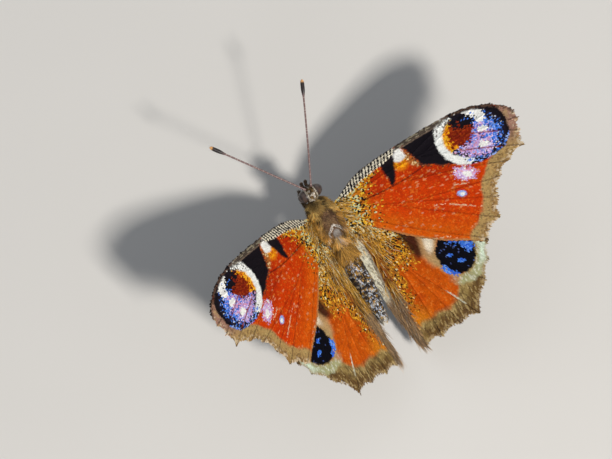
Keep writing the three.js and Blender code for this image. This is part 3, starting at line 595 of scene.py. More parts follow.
def fore_upper(x, y, pick):
    """Colours of the upper side of the forewing; pick is a random value for each scale."""
    wave = 0.10 * grain(x, y, 0.7, 1) + 0.05 * grain(x, y, 0.25, 2)
    xw, yw = x + wave, y + 0.10 * grain(x, y, 0.6, 5)
    from_costa = distance_to_line(x, y, spline(FORE_COSTA, np.linspace(0, 1, 40)))
    from_edge = forewing.from_margin(x, y)
    from_inner = distance_to_line(x, y, spline(FORE_INNER, np.linspace(0, 1, 40)))
    ground = plain(RED, len(x))
    warm = smooth(5.0, 0.4, from_inner) * 0.75 + smooth(7, 2, x) * 0.6
    ground = layered(ground, [
        (warm + 0.25 * grain(x, y, 1.6, 3), ORANGE),
        (0.65 * smooth(2.4, 0.8, ellipse(x, y, *OUTER_FLUSH)), DEEP_RED),
        (0.6 * smooth(1.6, 0.8, ellipse(x, y, *CELL_FLUSH)), DEEP_RED),
        (0.45 * blotches(x, y, 0.45, 4), DEEP_RED),
        (0.5 * (scatter(x, y, 0.22, 10) > 0.86), AMBER_FLECK),
        (0.4 * (streaky(x, y, 18) > 0.955), PEACH_STREAK)])
    root = smooth(6.8, 1.4, xw - 0.2 * y + 1.1 * grain(x, y, 0.5, 6))
    root = np.maximum(root, 0.85 * smooth(2.3, 1.3, from_costa) * smooth(8.2, 5.6, x))
    green = smooth(5.5, 1.6, x - 1.6 * smooth(2.6, 1.0, from_costa))
    speckle = mixed(x, y, 0.18, 7, [ROOT_BLACK, ROOT_GOLD, ROOT_YELLOW, ROOT_RUST, ROOT_GREEN],
                    [0.24, 0.20 - 0.08 * green, 0.16 * (1 - green), 0.04 + 0.30 * green])
    vein_dark = 0.7 * smooth(0.14, 0.05, distance_to_line(x, y, spline(CELL_LINE, np.linspace(0, 1, 20))))
    for name in ("media3", "cubitus", "cubitus2", "anal2", "media2"):
        vein_dark = np.maximum(vein_dark, 0.22 * smooth(0.14, 0.04, forewing.from_vein(x, y, name)))
    ground = layered(ground, [
        (0.85 * smooth(0.1, 0.7, root), ROOT_TAWNY),
        (streaky(x, y, 8, 0.3, 0.2) < root * 0.95, speckle),
        (vein_dark, VEIN_RED)])
    for start, end in WORN_STREAKS:
        worn = smooth(0.12, 0.05, distance_to_line(x, y, np.array([start, end])))
        ground = inked(ground, 0.75 * worn * (scatter(x, y, 0.25, 19) > 0.35), WORN)
    tawny = within(xw, yw, TAWNY_EDGE, 0.25)
    shaded = 0.15 + 0.7 * scatter(x, y, 0.2, 9) < within(xw, yw, BAR_TWO, 0.60, -0.05)
    ground = layered(ground, [
        (within(xw, yw, YELLOW_PATCH, 0.45), YELLOW),
        (0.8 * within(xw, yw, YELLOW_PATCH, 0.3) * (scatter(x, y, 0.2, 20) > 0.5), ORANGE),
        (0.8 * tawny, TAWNY),
        (tawny * (scatter(x, y, 0.2, 60) > 0.7), TAWNY_FLECK),
        (within(xw, yw, WHITE_PATCH, 0.16), WHITE),
        (0.8 * shaded, BARK),
        (within(xw, yw, BAR_TWO, 0.14, -0.12), BLACK),
        (within(xw, yw, BAR_ONE, 0.16), BLACK),
        (0.35 * smooth(2.0, 0.5, np.abs(x - 9.0)) * smooth(2.0, 3.4, y), SOOT),
        (smooth(16.5, 18.0, x) * smooth(3.4, 4.2, y) * smooth(26.5, 24.5, x), SOOT)])
    ground = fore_border(ground, x, y, from_edge, from_inner)
    ground = fore_spots(ground, xw, yw, pick)
    ground = fore_eyespot(ground, x, y, xw, yw)
    return costal_band(ground, x, y, from_costa)


def costal_band(ground, x, y, from_costa):
    """The front edge: ticked black and cream at first, then a plain brown-grey strip."""
    width = 0.55 + 0.70 * smooth(0.3, 3.5, x) * smooth(12, 8.0, x)
    ticked = smooth(0.08, -0.08, from_costa - width) * smooth(10.9, 10.3, x) * smooth(0.2, 1.2, x)
    slant = x / TICK_SPACING + from_costa * 0.5
    stripe = smooth(-0.15, 0.15, np.sin(TURN * slant) + 0.12 * grain(x, y, 0.3, 90))
    tick = layered(plain(BLACK, len(x)), [
        (stripe, TICK_CREAM),
        (0.8 * (scatter(x, y, 0.3, 11) > 0.95), BLACK),
        (0.7 * smooth(0.12, 0.04, from_costa), BLACK)])
    strip = smooth(0.62, 0.5, from_costa) * smooth(10.4, 11.0, x) * smooth(19.6, 17.2, x)
    line = smooth(0.12, 0.04, np.abs(from_costa - 0.66)) * smooth(11, 11.6, x) * smooth(18, 17, x)
    edge = smooth(0.45, 0.15, from_costa) * smooth(17, 19, x)
    return layered(ground, [
        (ticked, tick),
        (strip, EDGE_GREY),
        (strip * (streaky(x, y, 12, 0.6, 0.15) > 0.6), EDGE_STREAK),
        (0.8 * line, EDGE_LINE),
        (0.9 * edge * (scatter(x, y, 0.2, 31) > 0.25), EDGE_BROWN)])


def fore_border(ground, x, y, from_edge, from_inner):
    """The tan border of the outer edge, mauve at the tip, frayed pale at the very edge."""
    width = 2.05 + 0.2 * grain(x, y, 0.9, 13) + 0.5 * smooth(-2.5, 1.5, y) - 0.35 * smooth(-9.5, -12.5, y)
    band = smooth(0.25, -0.25, from_edge - width)
    colour = layered(plain(TAN, len(x)), [
        (smooth(-3.6, -0.6, y), MAUVE),
        (0.5 * smooth(1.3, 0.4, from_edge) * smooth(-2.5, -4.5, y), UMBER),
        (0.7 * blotches(x, y, 0.4, 14), STRAW),
        (0.45 * (scatter(x, y, 0.22, 15) > 0.80), BARK),
        (0.7 * smooth(0.9, 0.2, from_edge) * (scatter(x, y, 0.25, 16) > 0.6), FRINGE),
        (0.5 * smooth(0.12, 0.04, forewing.vein_distance(x, y)), BARK)])
    edge = smooth(0.35, 0.1, from_inner) * smooth(3, 6, x)
    return layered(ground, [(band, colour), (0.7 * edge, INNER_TAN)])


def fore_spots(ground, x, y, pick):
    """The two violet-white spots behind the eyespot."""
    haze = mixed(x, y, 0.2, 17, [LILAC, PALE_LILAC, WHITE, PINK], [0.35, 0.16, 0.18])
    return layered(ground, [
        (pick < smooth(1.2, 0.6, ellipse(x, y, *FIRST_HAZE)), haze),
        (smooth(1.15, 0.7, ellipse(x, y, *FIRST_SPOT)), WHITE),
        (0.5 * smooth(1.9, 1.2, ellipse(x, y, *SECOND_RIM)), DEEP_RED),
        (smooth(1.15, 0.8, ellipse(x, y, *SECOND_SPOT)), PALE_BLUE),
        (smooth(1.0, 0.6, ellipse(x, y, *SECOND_HEART)), WHITE)])


def fore_eyespot(ground, x, y, xw, yw):
    """The large eyespot near the tip of the forewing."""
    whole = within(xw, yw, EYESPOT, 0.12)
    ring = plain(RING_WHITE, len(x))
    ring = inked(ring, 0.8 * (scatter(x, y, 0.2, 21) < 0.55 * smooth(2.2, 4.2, y)), SOOT)
    past = smooth(19.4, 21.2, xw)
    low = smooth(-0.8, -1.8, y)
    tail = mixed(x, y, 0.2, 22, [BLACK, WHITE, PALE_BLUE, BLUE],
                 [0.42 * low * (1 - past), 0.30 * low, 0.22 * low])
    ring = inked(ring, scatter(x, y, 0.2, 32) < smooth(18.4, 20.6, xw), tail)
    field = within(xw, yw, LILAC_FIELD, 0.7)
    rim = within(xw, yw, EYE_CORE, 1.1, -0.75)
    blue = mixed(x, y, 0.2, 23, [CORE_BLACK, BLUE, PALE_BLUE, WHITE], [0.68 * rim, 0.18 * rim, 0.02])
    right = smooth(22.4, 24.6, xw)
    violet = mixed(x, y, 0.18, 24, [VIOLET, LILAC, ICE_LILAC, PALE_BLUE, BLUE, PLUM, PINK],
                   [0.44 - 0.26 * right, 0.16, 0.10 + 0.08 * right, 0.04 + 0.34 * right, 0.06,
                    0.10 - 0.08 * right])
    gold = mixed(x, y, 0.2, 26, [YELLOW, COPPER, BRIGHT_GOLD, MAROON], [0.25, 0.2, 0.10])
    inner_gold = smooth(20.1, 18.7, xw) * smooth(-0.6, 0.4, y)
    core = layered(plain(CORE_BLACK, len(x)), [
        (smooth(20.2, 22.8, xw) > 0.2, blue),
        (scatter(x, y, 0.19, 25) < field, violet),
        (scatter(x, y, 0.2, 33) < inner_gold, gold),
        (scatter(x, y, 0.2, 34) < within(xw, yw, PUPIL, 0.45), MAROON),
        (0.5 * within(xw, yw, PUPIL, 0.3) * (scatter(x, y, 0.2, 35) > 0.6), PUPIL_RUST),
        (scatter(x, y, 0.2, 27) < 0.9 * within(xw, yw, PUPIL_SHADE, 0.4), BLACK),
        (scatter(x, y, 0.2, 28) < 0.92 * within(xw, yw, PALE_CORNER, 0.3), WHITE)])
    for glint in EYE_GLINTS:
        core = inked(core, scatter(x, y, 0.17, 29) < smooth(1.6, 0.8, ellipse(x, y, *glint)), WHITE)
    for name in ("radius5", "media1"):
        vein = smooth(0.13, 0.05, forewing.from_vein(x, y, name))
        core = inked(core, 0.8 * (vein * smooth(18.8, 20.0, x) * smooth(25.8, 24.6, x)), EYE_VEIN)
    inner = within(xw, yw, EYE_CORE, 0.16)
    return inked(ground, whole, inked(ring, inner, core))


# Markings of the hindwing

HIND_BAR = [(6.0, -2.6), (8.8, -3.0), (8.7, -5.6), (8.1, -8.2), (6.8, -8.1), (6.3, -6.0)]
HIND_CREAM = [(8.9, -3.6), (11.2, -4.6), (11.2, -6.6), (10.0, -8.8), (9.3, -10.4), (8.4, -9.9), (7.9, -8.4),
              (8.4, -6.0)]
HIND_EYE = ((12.7, -9.75), (3.0, 2.95))
HIND_GLINTS = (((11.75, -9.75), (0.36, 0.22), -12), ((13.05, -11.05), (0.58, 0.28), -12))
CREAM_HEART = ((9.8, -6.4), (0.8, 2.2), -18)
HIND_BLUE = [(12.0, -7.2), (13.8, -6.9), (15.5, -8.6), (15.5, -10.3), (14.5, -10.4), (13.6, -9.0),
             (12.4, -8.3)]
HIND_CRESCENT = [(9.8, -10.6), (10.3, -11.0), (10.9, -11.9), (11.8, -12.5), (11.2, -12.75), (10.2, -12.1),
                 (9.7, -11.3)]


def hind_upper(x, y, word):
    """Colours of the upper side of the hindwing; the inner edge of the left one lies under brown hair."""
    wave = 0.12 * grain(x, y, 0.7, 31) + 0.06 * grain(x, y, 0.25, 32)
    xw, yw = x + wave, y + 0.12 * grain(x, y, 0.6, 33)
    from_edge = hindwing.from_margin(x, y)
    ground = layered(plain(HIND_RED, len(x)), [
        (0.5 + 0.5 * grain(x, y, 1.2, 34), HIND_ORANGE),
        (0.45 * blotches(x, y, 0.45, 54), HIND_RUST),
        (0.7 * smooth(-13.5, -16.5, y) * smooth(6.5, 3, x), HIND_AMBER),
        (0.5 * (scatter(x, y, 0.22, 55) > 0.88), HIND_FLECK)])
    gold = smooth(-10.5, -6.0, yw + 0.8 * grain(x, y, 0.6, 35)) * smooth(7.8, 5.4, x)
    gold = np.maximum(gold, 0.85 * smooth(4.6, 2.6, x + 0.9 * grain(x, y, 0.5, 36)) * smooth(-17, -12, y))
    pale = smooth(-5.2, -2.4, y + 0.30 * (x - 3))
    speckle = mixed(x, y, 0.18, 37, [SPECK_BLACK, GOLD, SPECK_YELLOW, SPECK_RUST, SPECK_PALE],
                    [0.28, 0.16 - 0.05 * pale, 0.26 * (1 - pale), 0.03 + 0.30 * pale])
    (eye_x, eye_y), (eye_reach, _) = HIND_EYE
    eye = ellipse(xw, yw, *HIND_EYE)
    outward = smooth(-0.35, 0.45, ((x - eye_x) * 0.72 - (y - eye_y) * 0.42) / eye_reach)
    below = smooth(1.30, 1.10, eye) * (1 - outward) * smooth(-8.0, -9.5, y)
    ground = layered(ground, [
        (0.9 * smooth(0.05, 0.7, gold), HIND_TAWNY),
        (scatter(x, y, 0.22, 38) < gold * 0.95, speckle),
        (0.92 * within(xw, yw, HIND_BAR, 0.6), BAR_BROWN),
        (within(xw, yw, HIND_CREAM, 0.5), CREAM_TAN),
        (smooth(1.3, 0.5, ellipse(x, y, *CREAM_HEART)), CREAM),
        (below * 0.9, SAND)])
    tail = np.exp(-((x - 13.0) ** 2 + (y + 15.6) ** 2) / 7.0)
    width = 2.5 + 2.1 * tail + 0.25 * grain(x, y, 0.8, 41)
    border = smooth(0.45, -0.45, from_edge - width)
    worn_edge = smooth(2.2, 1.0, from_edge + 0.4 * grain(x, y, 0.7, 56))
    brown = layered(plain(BORDER_OLIVE, len(x)), [
        (0.7 * blotches(x, y, 0.4, 42), BORDER_SHADE),
        (0.8 * worn_edge * smooth(1.0, 4, x), BORDER_BROWN),
        (0.6 * smooth(0.7, 0.2, from_edge) * (scatter(x, y, 0.22, 57) > 0.5), BORDER_FRINGE),
        (0.5 * (streaky(y, x, 43, 0.8, 0.17) > 0.68), BARK),
        (0.5 * (streaky(y, x, 62, 0.7, 0.17) > 0.80), BORDER_STREAK),
        (0.7 * smooth(0.10, 0.03, hindwing.vein_distance(x, y)), BORDER_VEIN)])
    band = smooth(1.62, 1.46, eye + 0.07 * grain(x, y, 0.5, 40)) * outward * smooth(1.0, 1.08, eye)
    bright = band * smooth(-13.2, -11.4, y) * smooth(1.14, 1.28, eye)
    ground = layered(ground, [
        (border, brown),
        (band * 0.85, MINT_GREY),
        (bright, MINT),
        (0.7 * band * smooth(1.20, 1.06, eye) * (scatter(x, y, 0.2, 61) > 0.35), MINT_TAN),
        (0.6 * band * smooth(0.40, 0.12, from_edge), MINT_EDGE),
        (0.4 * band * (streaky(y, x, 58, 0.4, 0.2) > 0.7), MINT_WHITE),
        (smooth(1.03, 0.97, eye + 0.04 * grain(x, y, 0.3, 44)), EYE_BLACK),
        (0.8 * (eye < 1) * (scatter(x, y, 0.2, 45) > 0.965), EYE_BLUE)])
    cap = scatter(x, y, 0.2, 46) < 0.92 * within(xw, yw, HIND_BLUE, 0.5, -0.1)
    blues = mixed(x, y, 0.21, 59, [BLUE, DEEP_BLUE, SKY_BLUE], [0.4, 0.2])
    cap |= scatter(x, y, 0.2, 47) < within(xw, yw, HIND_CRESCENT, 0.2) * 0.95
    for glint in HIND_GLINTS:
        cap |= scatter(x, y, 0.17, 48) < smooth(1.5, 0.7, ellipse(x, y, *glint))
    mint_vein = hindwing.from_vein(x, y, "media3")
    white_line = smooth(0.13, 0.05, mint_vein) * smooth(-13.9, -14.4, y) * smooth(-16.9, -16.5, y)
    rust = smooth(1.6, 0.9, np.abs(xw - 1.0)) * smooth(-2.5, -4.0, y) * smooth(-13, -10, y)
    strip = smooth(0.75, 0.35, xw) * smooth(-2.0, -3.5, y)
    return layered(ground, [
        (cap, blues),
        (0.9 * white_line, VEIN_WHITE),
        (0.75 * rust, INNER_RUST),
        (strip * smooth(-14.0, -11.5, y), STRIP_CREAM if word == "right" else STRIP_BROWN),
        (0.6 * strip * (scatter(x, y, 0.22, 49) > 0.8), STRIP_FLECK),
        (0.9 * smooth(2.5, 1.6, xw) * smooth(-11.0, -13.5, y), INNER_HAIR)])


def under_side(x, y, pick, wing):
    """Colours of the underside of all wings: bark-dark, with fine wavy lines and a pale border."""
    wave = np.hypot(x + 6, y) + 0.35 * grain(x, y, 1.2, 51)
    lines = smooth(0.35, 0.9, np.sin(TURN * wave / UNDER_LINE_SPACING))
    from_edge = wing.from_margin(x, y)
    return layered(plain(UNDER_DARK, len(x)), [
        (0.55 * lines, UNDER_LINE),
        (0.4 * blotches(x, y, 0.9, 52), UNDER_PATCH),
        (0.5 * smooth(4.2, 3.4, from_edge) * smooth(2.2, 2.9, from_edge), UNDER_BAND),
        (0.25 * smooth(0.10, 0.04, wing.vein_distance(x, y)), UNDER_VEIN),
        (0.3 * (pick > 0.8), UNDER_FLECK)])


# Materials

def add_node(nodes, kind, **values):
    """A new shader node with some of its inputs set; underscores in the names stand for spaces."""
    node = nodes.new("ShaderNode" + kind)
    for name, value in values.items():
        node.inputs[name.replace("_", " ")].default_value = value
    return node


def chain(links, *joints):
    """Links an output of one node to an input of the next, for each joint."""
    for source, output, target, entry in joints:
        links.new(source.outputs[output], target.inputs[entry])


def node_material(name, roughness, sheen=0.0, bump=None, specular=0.4, mottle=0.12, mottle_size=900.0,
                  coat=0.0):
    """A painted material: vertex paint broken up by fine noise, with a bump of its own."""
    material = bpy.data.materials.new(name)
    material.use_nodes = True
    nodes, links = material.node_tree.nodes, material.node_tree.links
    shader = nodes["Principled BSDF"]
    for entry, value in (("Specular IOR Level", specular), ("Sheen Weight", sheen),
                         ("Sheen Roughness", 0.4), ("Coat Weight", coat)):
        shader.inputs[entry].default_value = value
    place = add_node(nodes, "TexCoord")
    paint = add_node(nodes, "VertexColor")
    paint.layer_name = "Paint"
    speck = add_node(nodes, "TexNoise", Scale=mottle_size, Detail=4.0)
    spread = add_node(nodes, "MapRange", From_Min=0.3, From_Max=0.7, To_Min=1 - mottle, To_Max=1 + mottle)
    tint = add_node(nodes, "VectorMath")
    tint.operation = "SCALE"
    dull = add_node(nodes, "MapRange", To_Min=roughness - 0.08, To_Max=roughness + 0.08)
    chain(links, (place, "Object", speck, "Vector"), (speck, "Fac", spread, "Value"),
          (paint, "Color", tint, 0), (spread, "Result", tint, "Scale"),
          (tint, "Vector", shader, "Base Color"), (speck, "Fac", dull, "Value"),
          (dull, "Result", shader, "Roughness"))
    if bump:
        size, strength, depth = bump
        relief = add_node(nodes, "TexVoronoi", Scale=size)
        rise = add_node(nodes, "Bump", Strength=strength, Distance=depth)
        chain(links, (place, "Object", relief, "Vector"), (relief, "Distance", rise, "Height"),
              (rise, "Normal", shader, "Normal"))
    return material


wing_material = node_material("wing_membrane", 0.66, specular=0.15, bump=(4500, 0.25, 0.00004), mottle=0.10)
scale_material = node_material("wing_scales", 0.66, specular=0.05, mottle=0.10, mottle_size=6000.0)
fur_material = node_material("fur", 0.72, sheen=0.04, specular=0.12, mottle=0.18, mottle_size=5000.0)
skin_material = node_material("skin", 0.75, specular=0.2, bump=(5200, 0.4, 0.00005), mottle=0.2,
                              mottle_size=2400.0)
eye_material = node_material("compound_eye", 0.28, bump=(22000, 0.35, 0.00002), mottle=0.15, coat=0.25)
horn_material = node_material("horn", 0.42, bump=(9000, 0.3, 0.00002), mottle=0.16, mottle_size=3000.0)


# Wing sheets and their scales

WING_GRID = {"fore": (175, 120), "hind": (150, 115)}
SHEET_EDGE_WEAR = 0.09
# Painted shade: the upper face of the membrane, seen in the gaps between the scales, is painted a tenth
# darker than them
MEMBRANE_PAINTED_SHADE = 0.9
WING_HEART = {"fore": (9.0, -1.5), "hind": (8.0, -8.0)}
HINDWING_NOTCHES = ((13.1, -16.7), (16.9, -13.6))


def upper_colours(kind, word, x, y, pick):
    return fore_upper(x, y, pick) if kind == "fore" else hind_upper(x, y, word)


def worn_margin(plan, kind, word):
    """Nibbles the outer edge a little, as on a butterfly some weeks old."""
    wing = WINGS[kind]
    seed = 61 if word == "right" else 62
    reach = smooth(1.6, 0.0, wing.from_margin(plan[..., 0], plan[..., 1]))
    wear = SHEET_EDGE_WEAR * (0.5 + 0.5 * grain(plan[..., 0], plan[..., 1], 0.35, seed))
    wear = wear + 0.10 * (grain(plan[..., 0], plan[..., 1], 1.3, seed + 3) > 0.5)
    if kind == "hind" and word == "left":
        for notch in HINDWING_NOTCHES:
            wear = wear + 0.75 * smooth(1.0, 0.2, np.hypot(plan[..., 0] - notch[0], plan[..., 1] - notch[1]))
    inward = np.array(WING_HEART[kind]) - plan
    inward = unit(inward)
    return plan + inward * (wear * reach)[..., None]


def wing_sheet(kind, word):
    """The membrane: a thin closed sheet, painted on both sides."""
    wing = WINGS[kind]
    rows, columns = WING_GRID[kind]
    plan = worn_margin(wing.grid(rows, columns), kind, word)
    plan[..., 0] -= ROOT_REACH[kind] * np.clip(1 - np.linspace(0, 1, rows) / ROOT_SHARE, 0, 1)[:, None]
    plan = plan.reshape(-1, 2)
    x, y = plan[:, 0], plan[:, 1]
    low = wing_points(kind, x, y, np.full(len(x), -SHEET_HALF), word)
    high = wing_points(kind, x, y, np.full(len(x), SHEET_HALF), word)
    pick = scatter(x, y, 0.18, 71)
    count = rows * columns
    top = grid_corners(rows, columns, 0, word == "left")
    under = grid_corners(rows, columns, count, word != "left")
    rim = np.concatenate([
        np.arange(columns - 1),
        np.arange(rows - 1) * columns + columns - 1,
        np.arange(columns - 1, 0, -1) + (rows - 1) * columns,
        np.arange(rows - 1, 0, -1) * columns,
    ])
    after = np.roll(rim, -1)
    edge = np.stack([rim, rim + count, after + count, after], -1)
    if word == "left":
        edge = edge[:, ::-1]
    corners = np.concatenate([top, under, edge])
    # painted shade in the gaps between the upper scales
    upper = upper_colours(kind, word, x, y, pick) * MEMBRANE_PAINTED_SHADE
    colours = np.concatenate([upper, under_side(x, y, pick, wing)])
    obj = make_mesh(f"{kind}wing_sheet_{word}", np.concatenate([high, low]), corners,
                    np.full(len(corners), 4), colours)
    return finished(obj, wing_material, f"{kind}wing", f"{kind}wing_{word}")


# Scales stand in rows on arcs round a point near the root, each overlapping the next one out
FAN_CENTRE, FAN_SPREAD, FAN_BEYOND = (-3.0, 1.0), (-2.1, 1.4), 14
# For the upper and the under face: distance of rows, of scales in a row, and of the outermost from the edge
SCALE_ROWS = {True: (0.17, 0.125, 0.10), False: (0.26, 0.20, 0.55)}
# Width of a scale in steps and its length in rows
SCALE_WIDTH, SCALE_LENGTH = 1.12, 1.62
SCALE_SHAPE = np.array([(-0.42, 0.0), (-0.50, 0.72), (0.0, 1.0), (0.50, 0.72), (0.42, 0.0)])


def scale_roots(wing, row, step, seed):
    """Jittered root places on the wing's plan, with a direction towards the margin."""
    low, high = wing.outline.min(0), wing.outline.max(0)
    picks = np.random.default_rng(seed)
    radius = np.arange(0.1, np.hypot(*(high - low)) + FAN_BEYOND, row)
    roots = []
    for k, r in enumerate(radius):
        angle = np.arange(*FAN_SPREAD, step / max(r, 0.5)) + (k % 2) * 0.5 * step / max(r, 0.5)
        roots.append(np.stack([FAN_CENTRE[0] + r * np.cos(angle), FAN_CENTRE[1] + r * np.sin(angle)], -1))
    roots = np.concatenate(roots)
    roots = roots + picks.normal(0, step * 0.16, roots.shape)
    inside = inside_outline(roots[:, 0], roots[:, 1], wing.outline)
    roots = roots[inside]
    outward = unit(roots - np.array(FAN_CENTRE))
    bend = picks.normal(0, 0.13, len(roots))
    c, s = np.cos(bend), np.sin(bend)
    outward = np.stack([outward[:, 0] * c - outward[:, 1] * s, outward[:, 0] * s + outward[:, 1] * c], -1)
    return roots, outward, picks


def wing_scales(kind, word, upper):
    """The scales of one face of a wing, as small overlapping tiles of one colour each."""
    wing = WINGS[kind]
    row, step, inset = SCALE_ROWS[upper]
    seed = 81 + 2 * upper + (word == "left") + 4 * (kind == "hind")
    roots, outward, picks = scale_roots(wing, row, step, seed)
    margin = wing.from_margin(roots[:, 0], roots[:, 1])
    root_side = (roots[:, 0] > 0.35) | (roots[:, 1] < -2.5)
    kept = root_side & (margin > inset)
    kept &= picks.random(len(roots)) < 0.97 - 0.15 * (margin < 0.7)
    roots, outward, margin = roots[kept], outward[kept], margin[kept]
    count = len(roots)
    wide = step * SCALE_WIDTH * picks.uniform(0.8, 1.2, count)
    long = row * SCALE_LENGTH * picks.uniform(0.8, 1.25, count) * (1 + 0.5 * (margin < 0.3))
    across = np.stack([-outward[:, 1], outward[:, 0]], -1)
    plan = (roots[:, None] + across[:, None] * (SCALE_SHAPE[None, :, :1] * wide[:, None, None])
            + outward[:, None] * (SCALE_SHAPE[None, :, 1:] * long[:, None, None]))
    tilt = SCALE_TILT * SCALE_SHAPE[None, :, 1] * picks.uniform(0.6, 1.5, (count, 1))
    lift = SHEET_HALF + SCALE_LIFT + tilt
    points = wing_points(kind, plan[..., 0].ravel(), plan[..., 1].ravel(),
                         (lift if upper else -lift).ravel(), word)
    pick = picks.random(count)
    if upper:
        middle = roots + outward * 0.1
        paint = upper_colours(kind, word, middle[:, 0], middle[:, 1], pick)
    else:
        paint = under_side(roots[:, 0], roots[:, 1], pick, wing)
    paint = paint * picks.uniform(0.84, 1.16, (count, 1))
    sides = len(SCALE_SHAPE)
    corners = np.arange(count * sides).reshape(count, sides)
    if (word == "right") == upper:
        corners = corners[:, ::-1]
    patches = wing.patch(roots)[:, None] + (SCALE_SHAPE[None] - [0, 0.5]) * PATCH_SIZE
    name = f"{kind}wing_{'scales' if upper else 'underscales'}_{word}"
    obj = make_mesh(name, points, corners, np.full(count, sides), np.repeat(paint, sides, axis=0),
                    patches.reshape(-1, 2), False)
    return finished(obj, scale_material, f"{kind}wing")


# Body: one skin from the head to the tip of the abdomen, in millimetres in the body's frame

# Rings: place along the body, half-width, half-height, height of the middle, squareness
BODY_RINGS = [
    (5.05, 0.18, 0.22, -0.02, 2.4), (4.95, 0.42, 0.55, -0.02, 2.5), (4.70, 0.58, 0.82, -0.02, 2.6),
    (4.30, 0.64, 0.94, 0.0, 2.6), (3.85, 0.64, 0.92, 0.0, 2.5), (3.45, 0.58, 0.84, 0.0, 2.3),
    (3.10, 0.55, 0.74, 0.0, 2.1), (2.80, 0.80, 0.94, 0.0, 2.0), (2.45, 1.16, 1.30, 0.0, 2.0),
    (2.00, 1.40, 1.58, 0.0, 2.0), (1.30, 1.62, 1.84, 0.0, 2.0), (0.30, 1.76, 2.04, 0.0, 2.0),
    (-0.80, 1.76, 2.10, 0.0, 2.0), (-1.70, 1.62, 1.98, 0.0, 2.0), (-2.40, 1.42, 1.70, 0.0, 2.0),
    (-3.00, 1.24, 1.46, -0.03, 2.0), (-3.60, 0.98, 1.06, -0.08, 2.0),
]
ABDOMEN_START, ABDOMEN_END = -3.98, -17.1
ABDOMEN_WIDE, ABDOMEN_HIGH = 1.42, 1.50
ABDOMEN_SPAN, ABDOMEN_RINGS = (0.015, 0.985), 74
SEGMENTS = 8
BODY_FRONT, BODY_LENGTH = 5.2, 22.6
BODY_SIDES = 110
# Step of the slopes along and round the skin, and where its back begins, as a sine
PROBE, BACK_LEVEL = 0.02, 0.2

# The seam, the shield and the worn middle on the back of the thorax
SEAM = [(-1.15, -2.15), (-0.55, -1.45), (0.08, -0.95), (0.60, -1.35), (1.10, -1.90)]
SHIELD, SHIELD_TIP = ((0.08, -2.25), (0.62, 0.72)), ((0.1, -2.55), (0.5, 0.4))
WORN_BACK = ((0.05, -0.65), (1.25, 2.3))


def abdomen_rings():
    """Rings of the abdomen, nipped in between its segments."""
    rings = []
    for t in np.linspace(*ABDOMEN_SPAN, ABDOMEN_RINGS):
        girth = min(1.0, 0.62 + 1.9 * t) * math.sqrt(max(0.0, 1 - (max(0.0, t - 0.25) / 0.80) ** 2))
        phase = t * SEGMENTS % 1
        nip = 0.05 * (1 - float(smooth(0.0, 0.30, phase))) + 0.05 * float(smooth(0.93, 1.0, phase))
        middle = -0.15 - 0.75 * t**2
        girth = max(0.12, girth * (1 - nip) - 0.06)
        place = ABDOMEN_START + (ABDOMEN_END - ABDOMEN_START) * t
        rings.append((place, ABDOMEN_WIDE * girth, ABDOMEN_HIGH * girth, middle, 2.0))
    rings.append((ABDOMEN_END, 0.06, 0.06, -0.88, 2.0))
    return rings


ALL_RINGS = np.array(BODY_RINGS + abdomen_rings())


def ring_at(y):
    """The body's half-width, half-height, middle and squareness at places along it."""
    order = ALL_RINGS[::-1]
    return [np.interp(y, order[:, 0], order[:, k]) for k in (1, 2, 3, 4)]


def skin_point(y, angle, lift=0.0):
    """A point on the body's skin; angle 0 is its right side and a quarter turn is its back."""
    wide, high, middle, power = ring_at(y)
    c, s = np.cos(angle), np.sin(angle)
    x = (wide + lift) * np.sign(c) * np.abs(c) ** (2 / power)
    z = middle + (high + lift) * np.sign(s) * np.abs(s) ** (2 / power)
    return np.stack([x, y + 0 * x, z], -1)


def skin_normal(y, angle):
    """The direction straight out of the skin."""
    step_y = skin_point(y + PROBE, angle) - skin_point(y - PROBE, angle)
    step_a = skin_point(y, angle + PROBE) - skin_point(y, angle - PROBE)
    normal = unit(np.cross(step_y, step_a))
    middle = ring_at(y)[2]
    out = skin_point(y, angle) - np.stack([0 * y, y, middle], -1)
    return normal * np.where((normal * out).sum(-1) < 0, -1, 1)[..., None]


def from_seam(x, y):
    """Distance to the seam, seen from above."""
    return distance_to_line(x, y, spline(SEAM, np.linspace(0, 1, 16)))


def back_relief(x, y):
    """Height of the seam, the shield and the mid-line on the back of the thorax."""
    seam = from_seam(x, y)
    plate = smooth(1.15, 0.55, ellipse(x, y, *SHIELD))
    middle = np.exp(-((x / 0.08) ** 2)) * smooth(-0.9, -0.2, y) * smooth(2.3, 1.6, y)
    return 0.13 * plate - 0.09 * np.exp(-((seam / 0.09) ** 2)) - 0.05 * middle


def bare_patch(x, y):
    """1 on the worn middle of the back, where the fur is short and thin."""
    return smooth(1.25, 0.75, ellipse(x, y, *WORN_BACK))


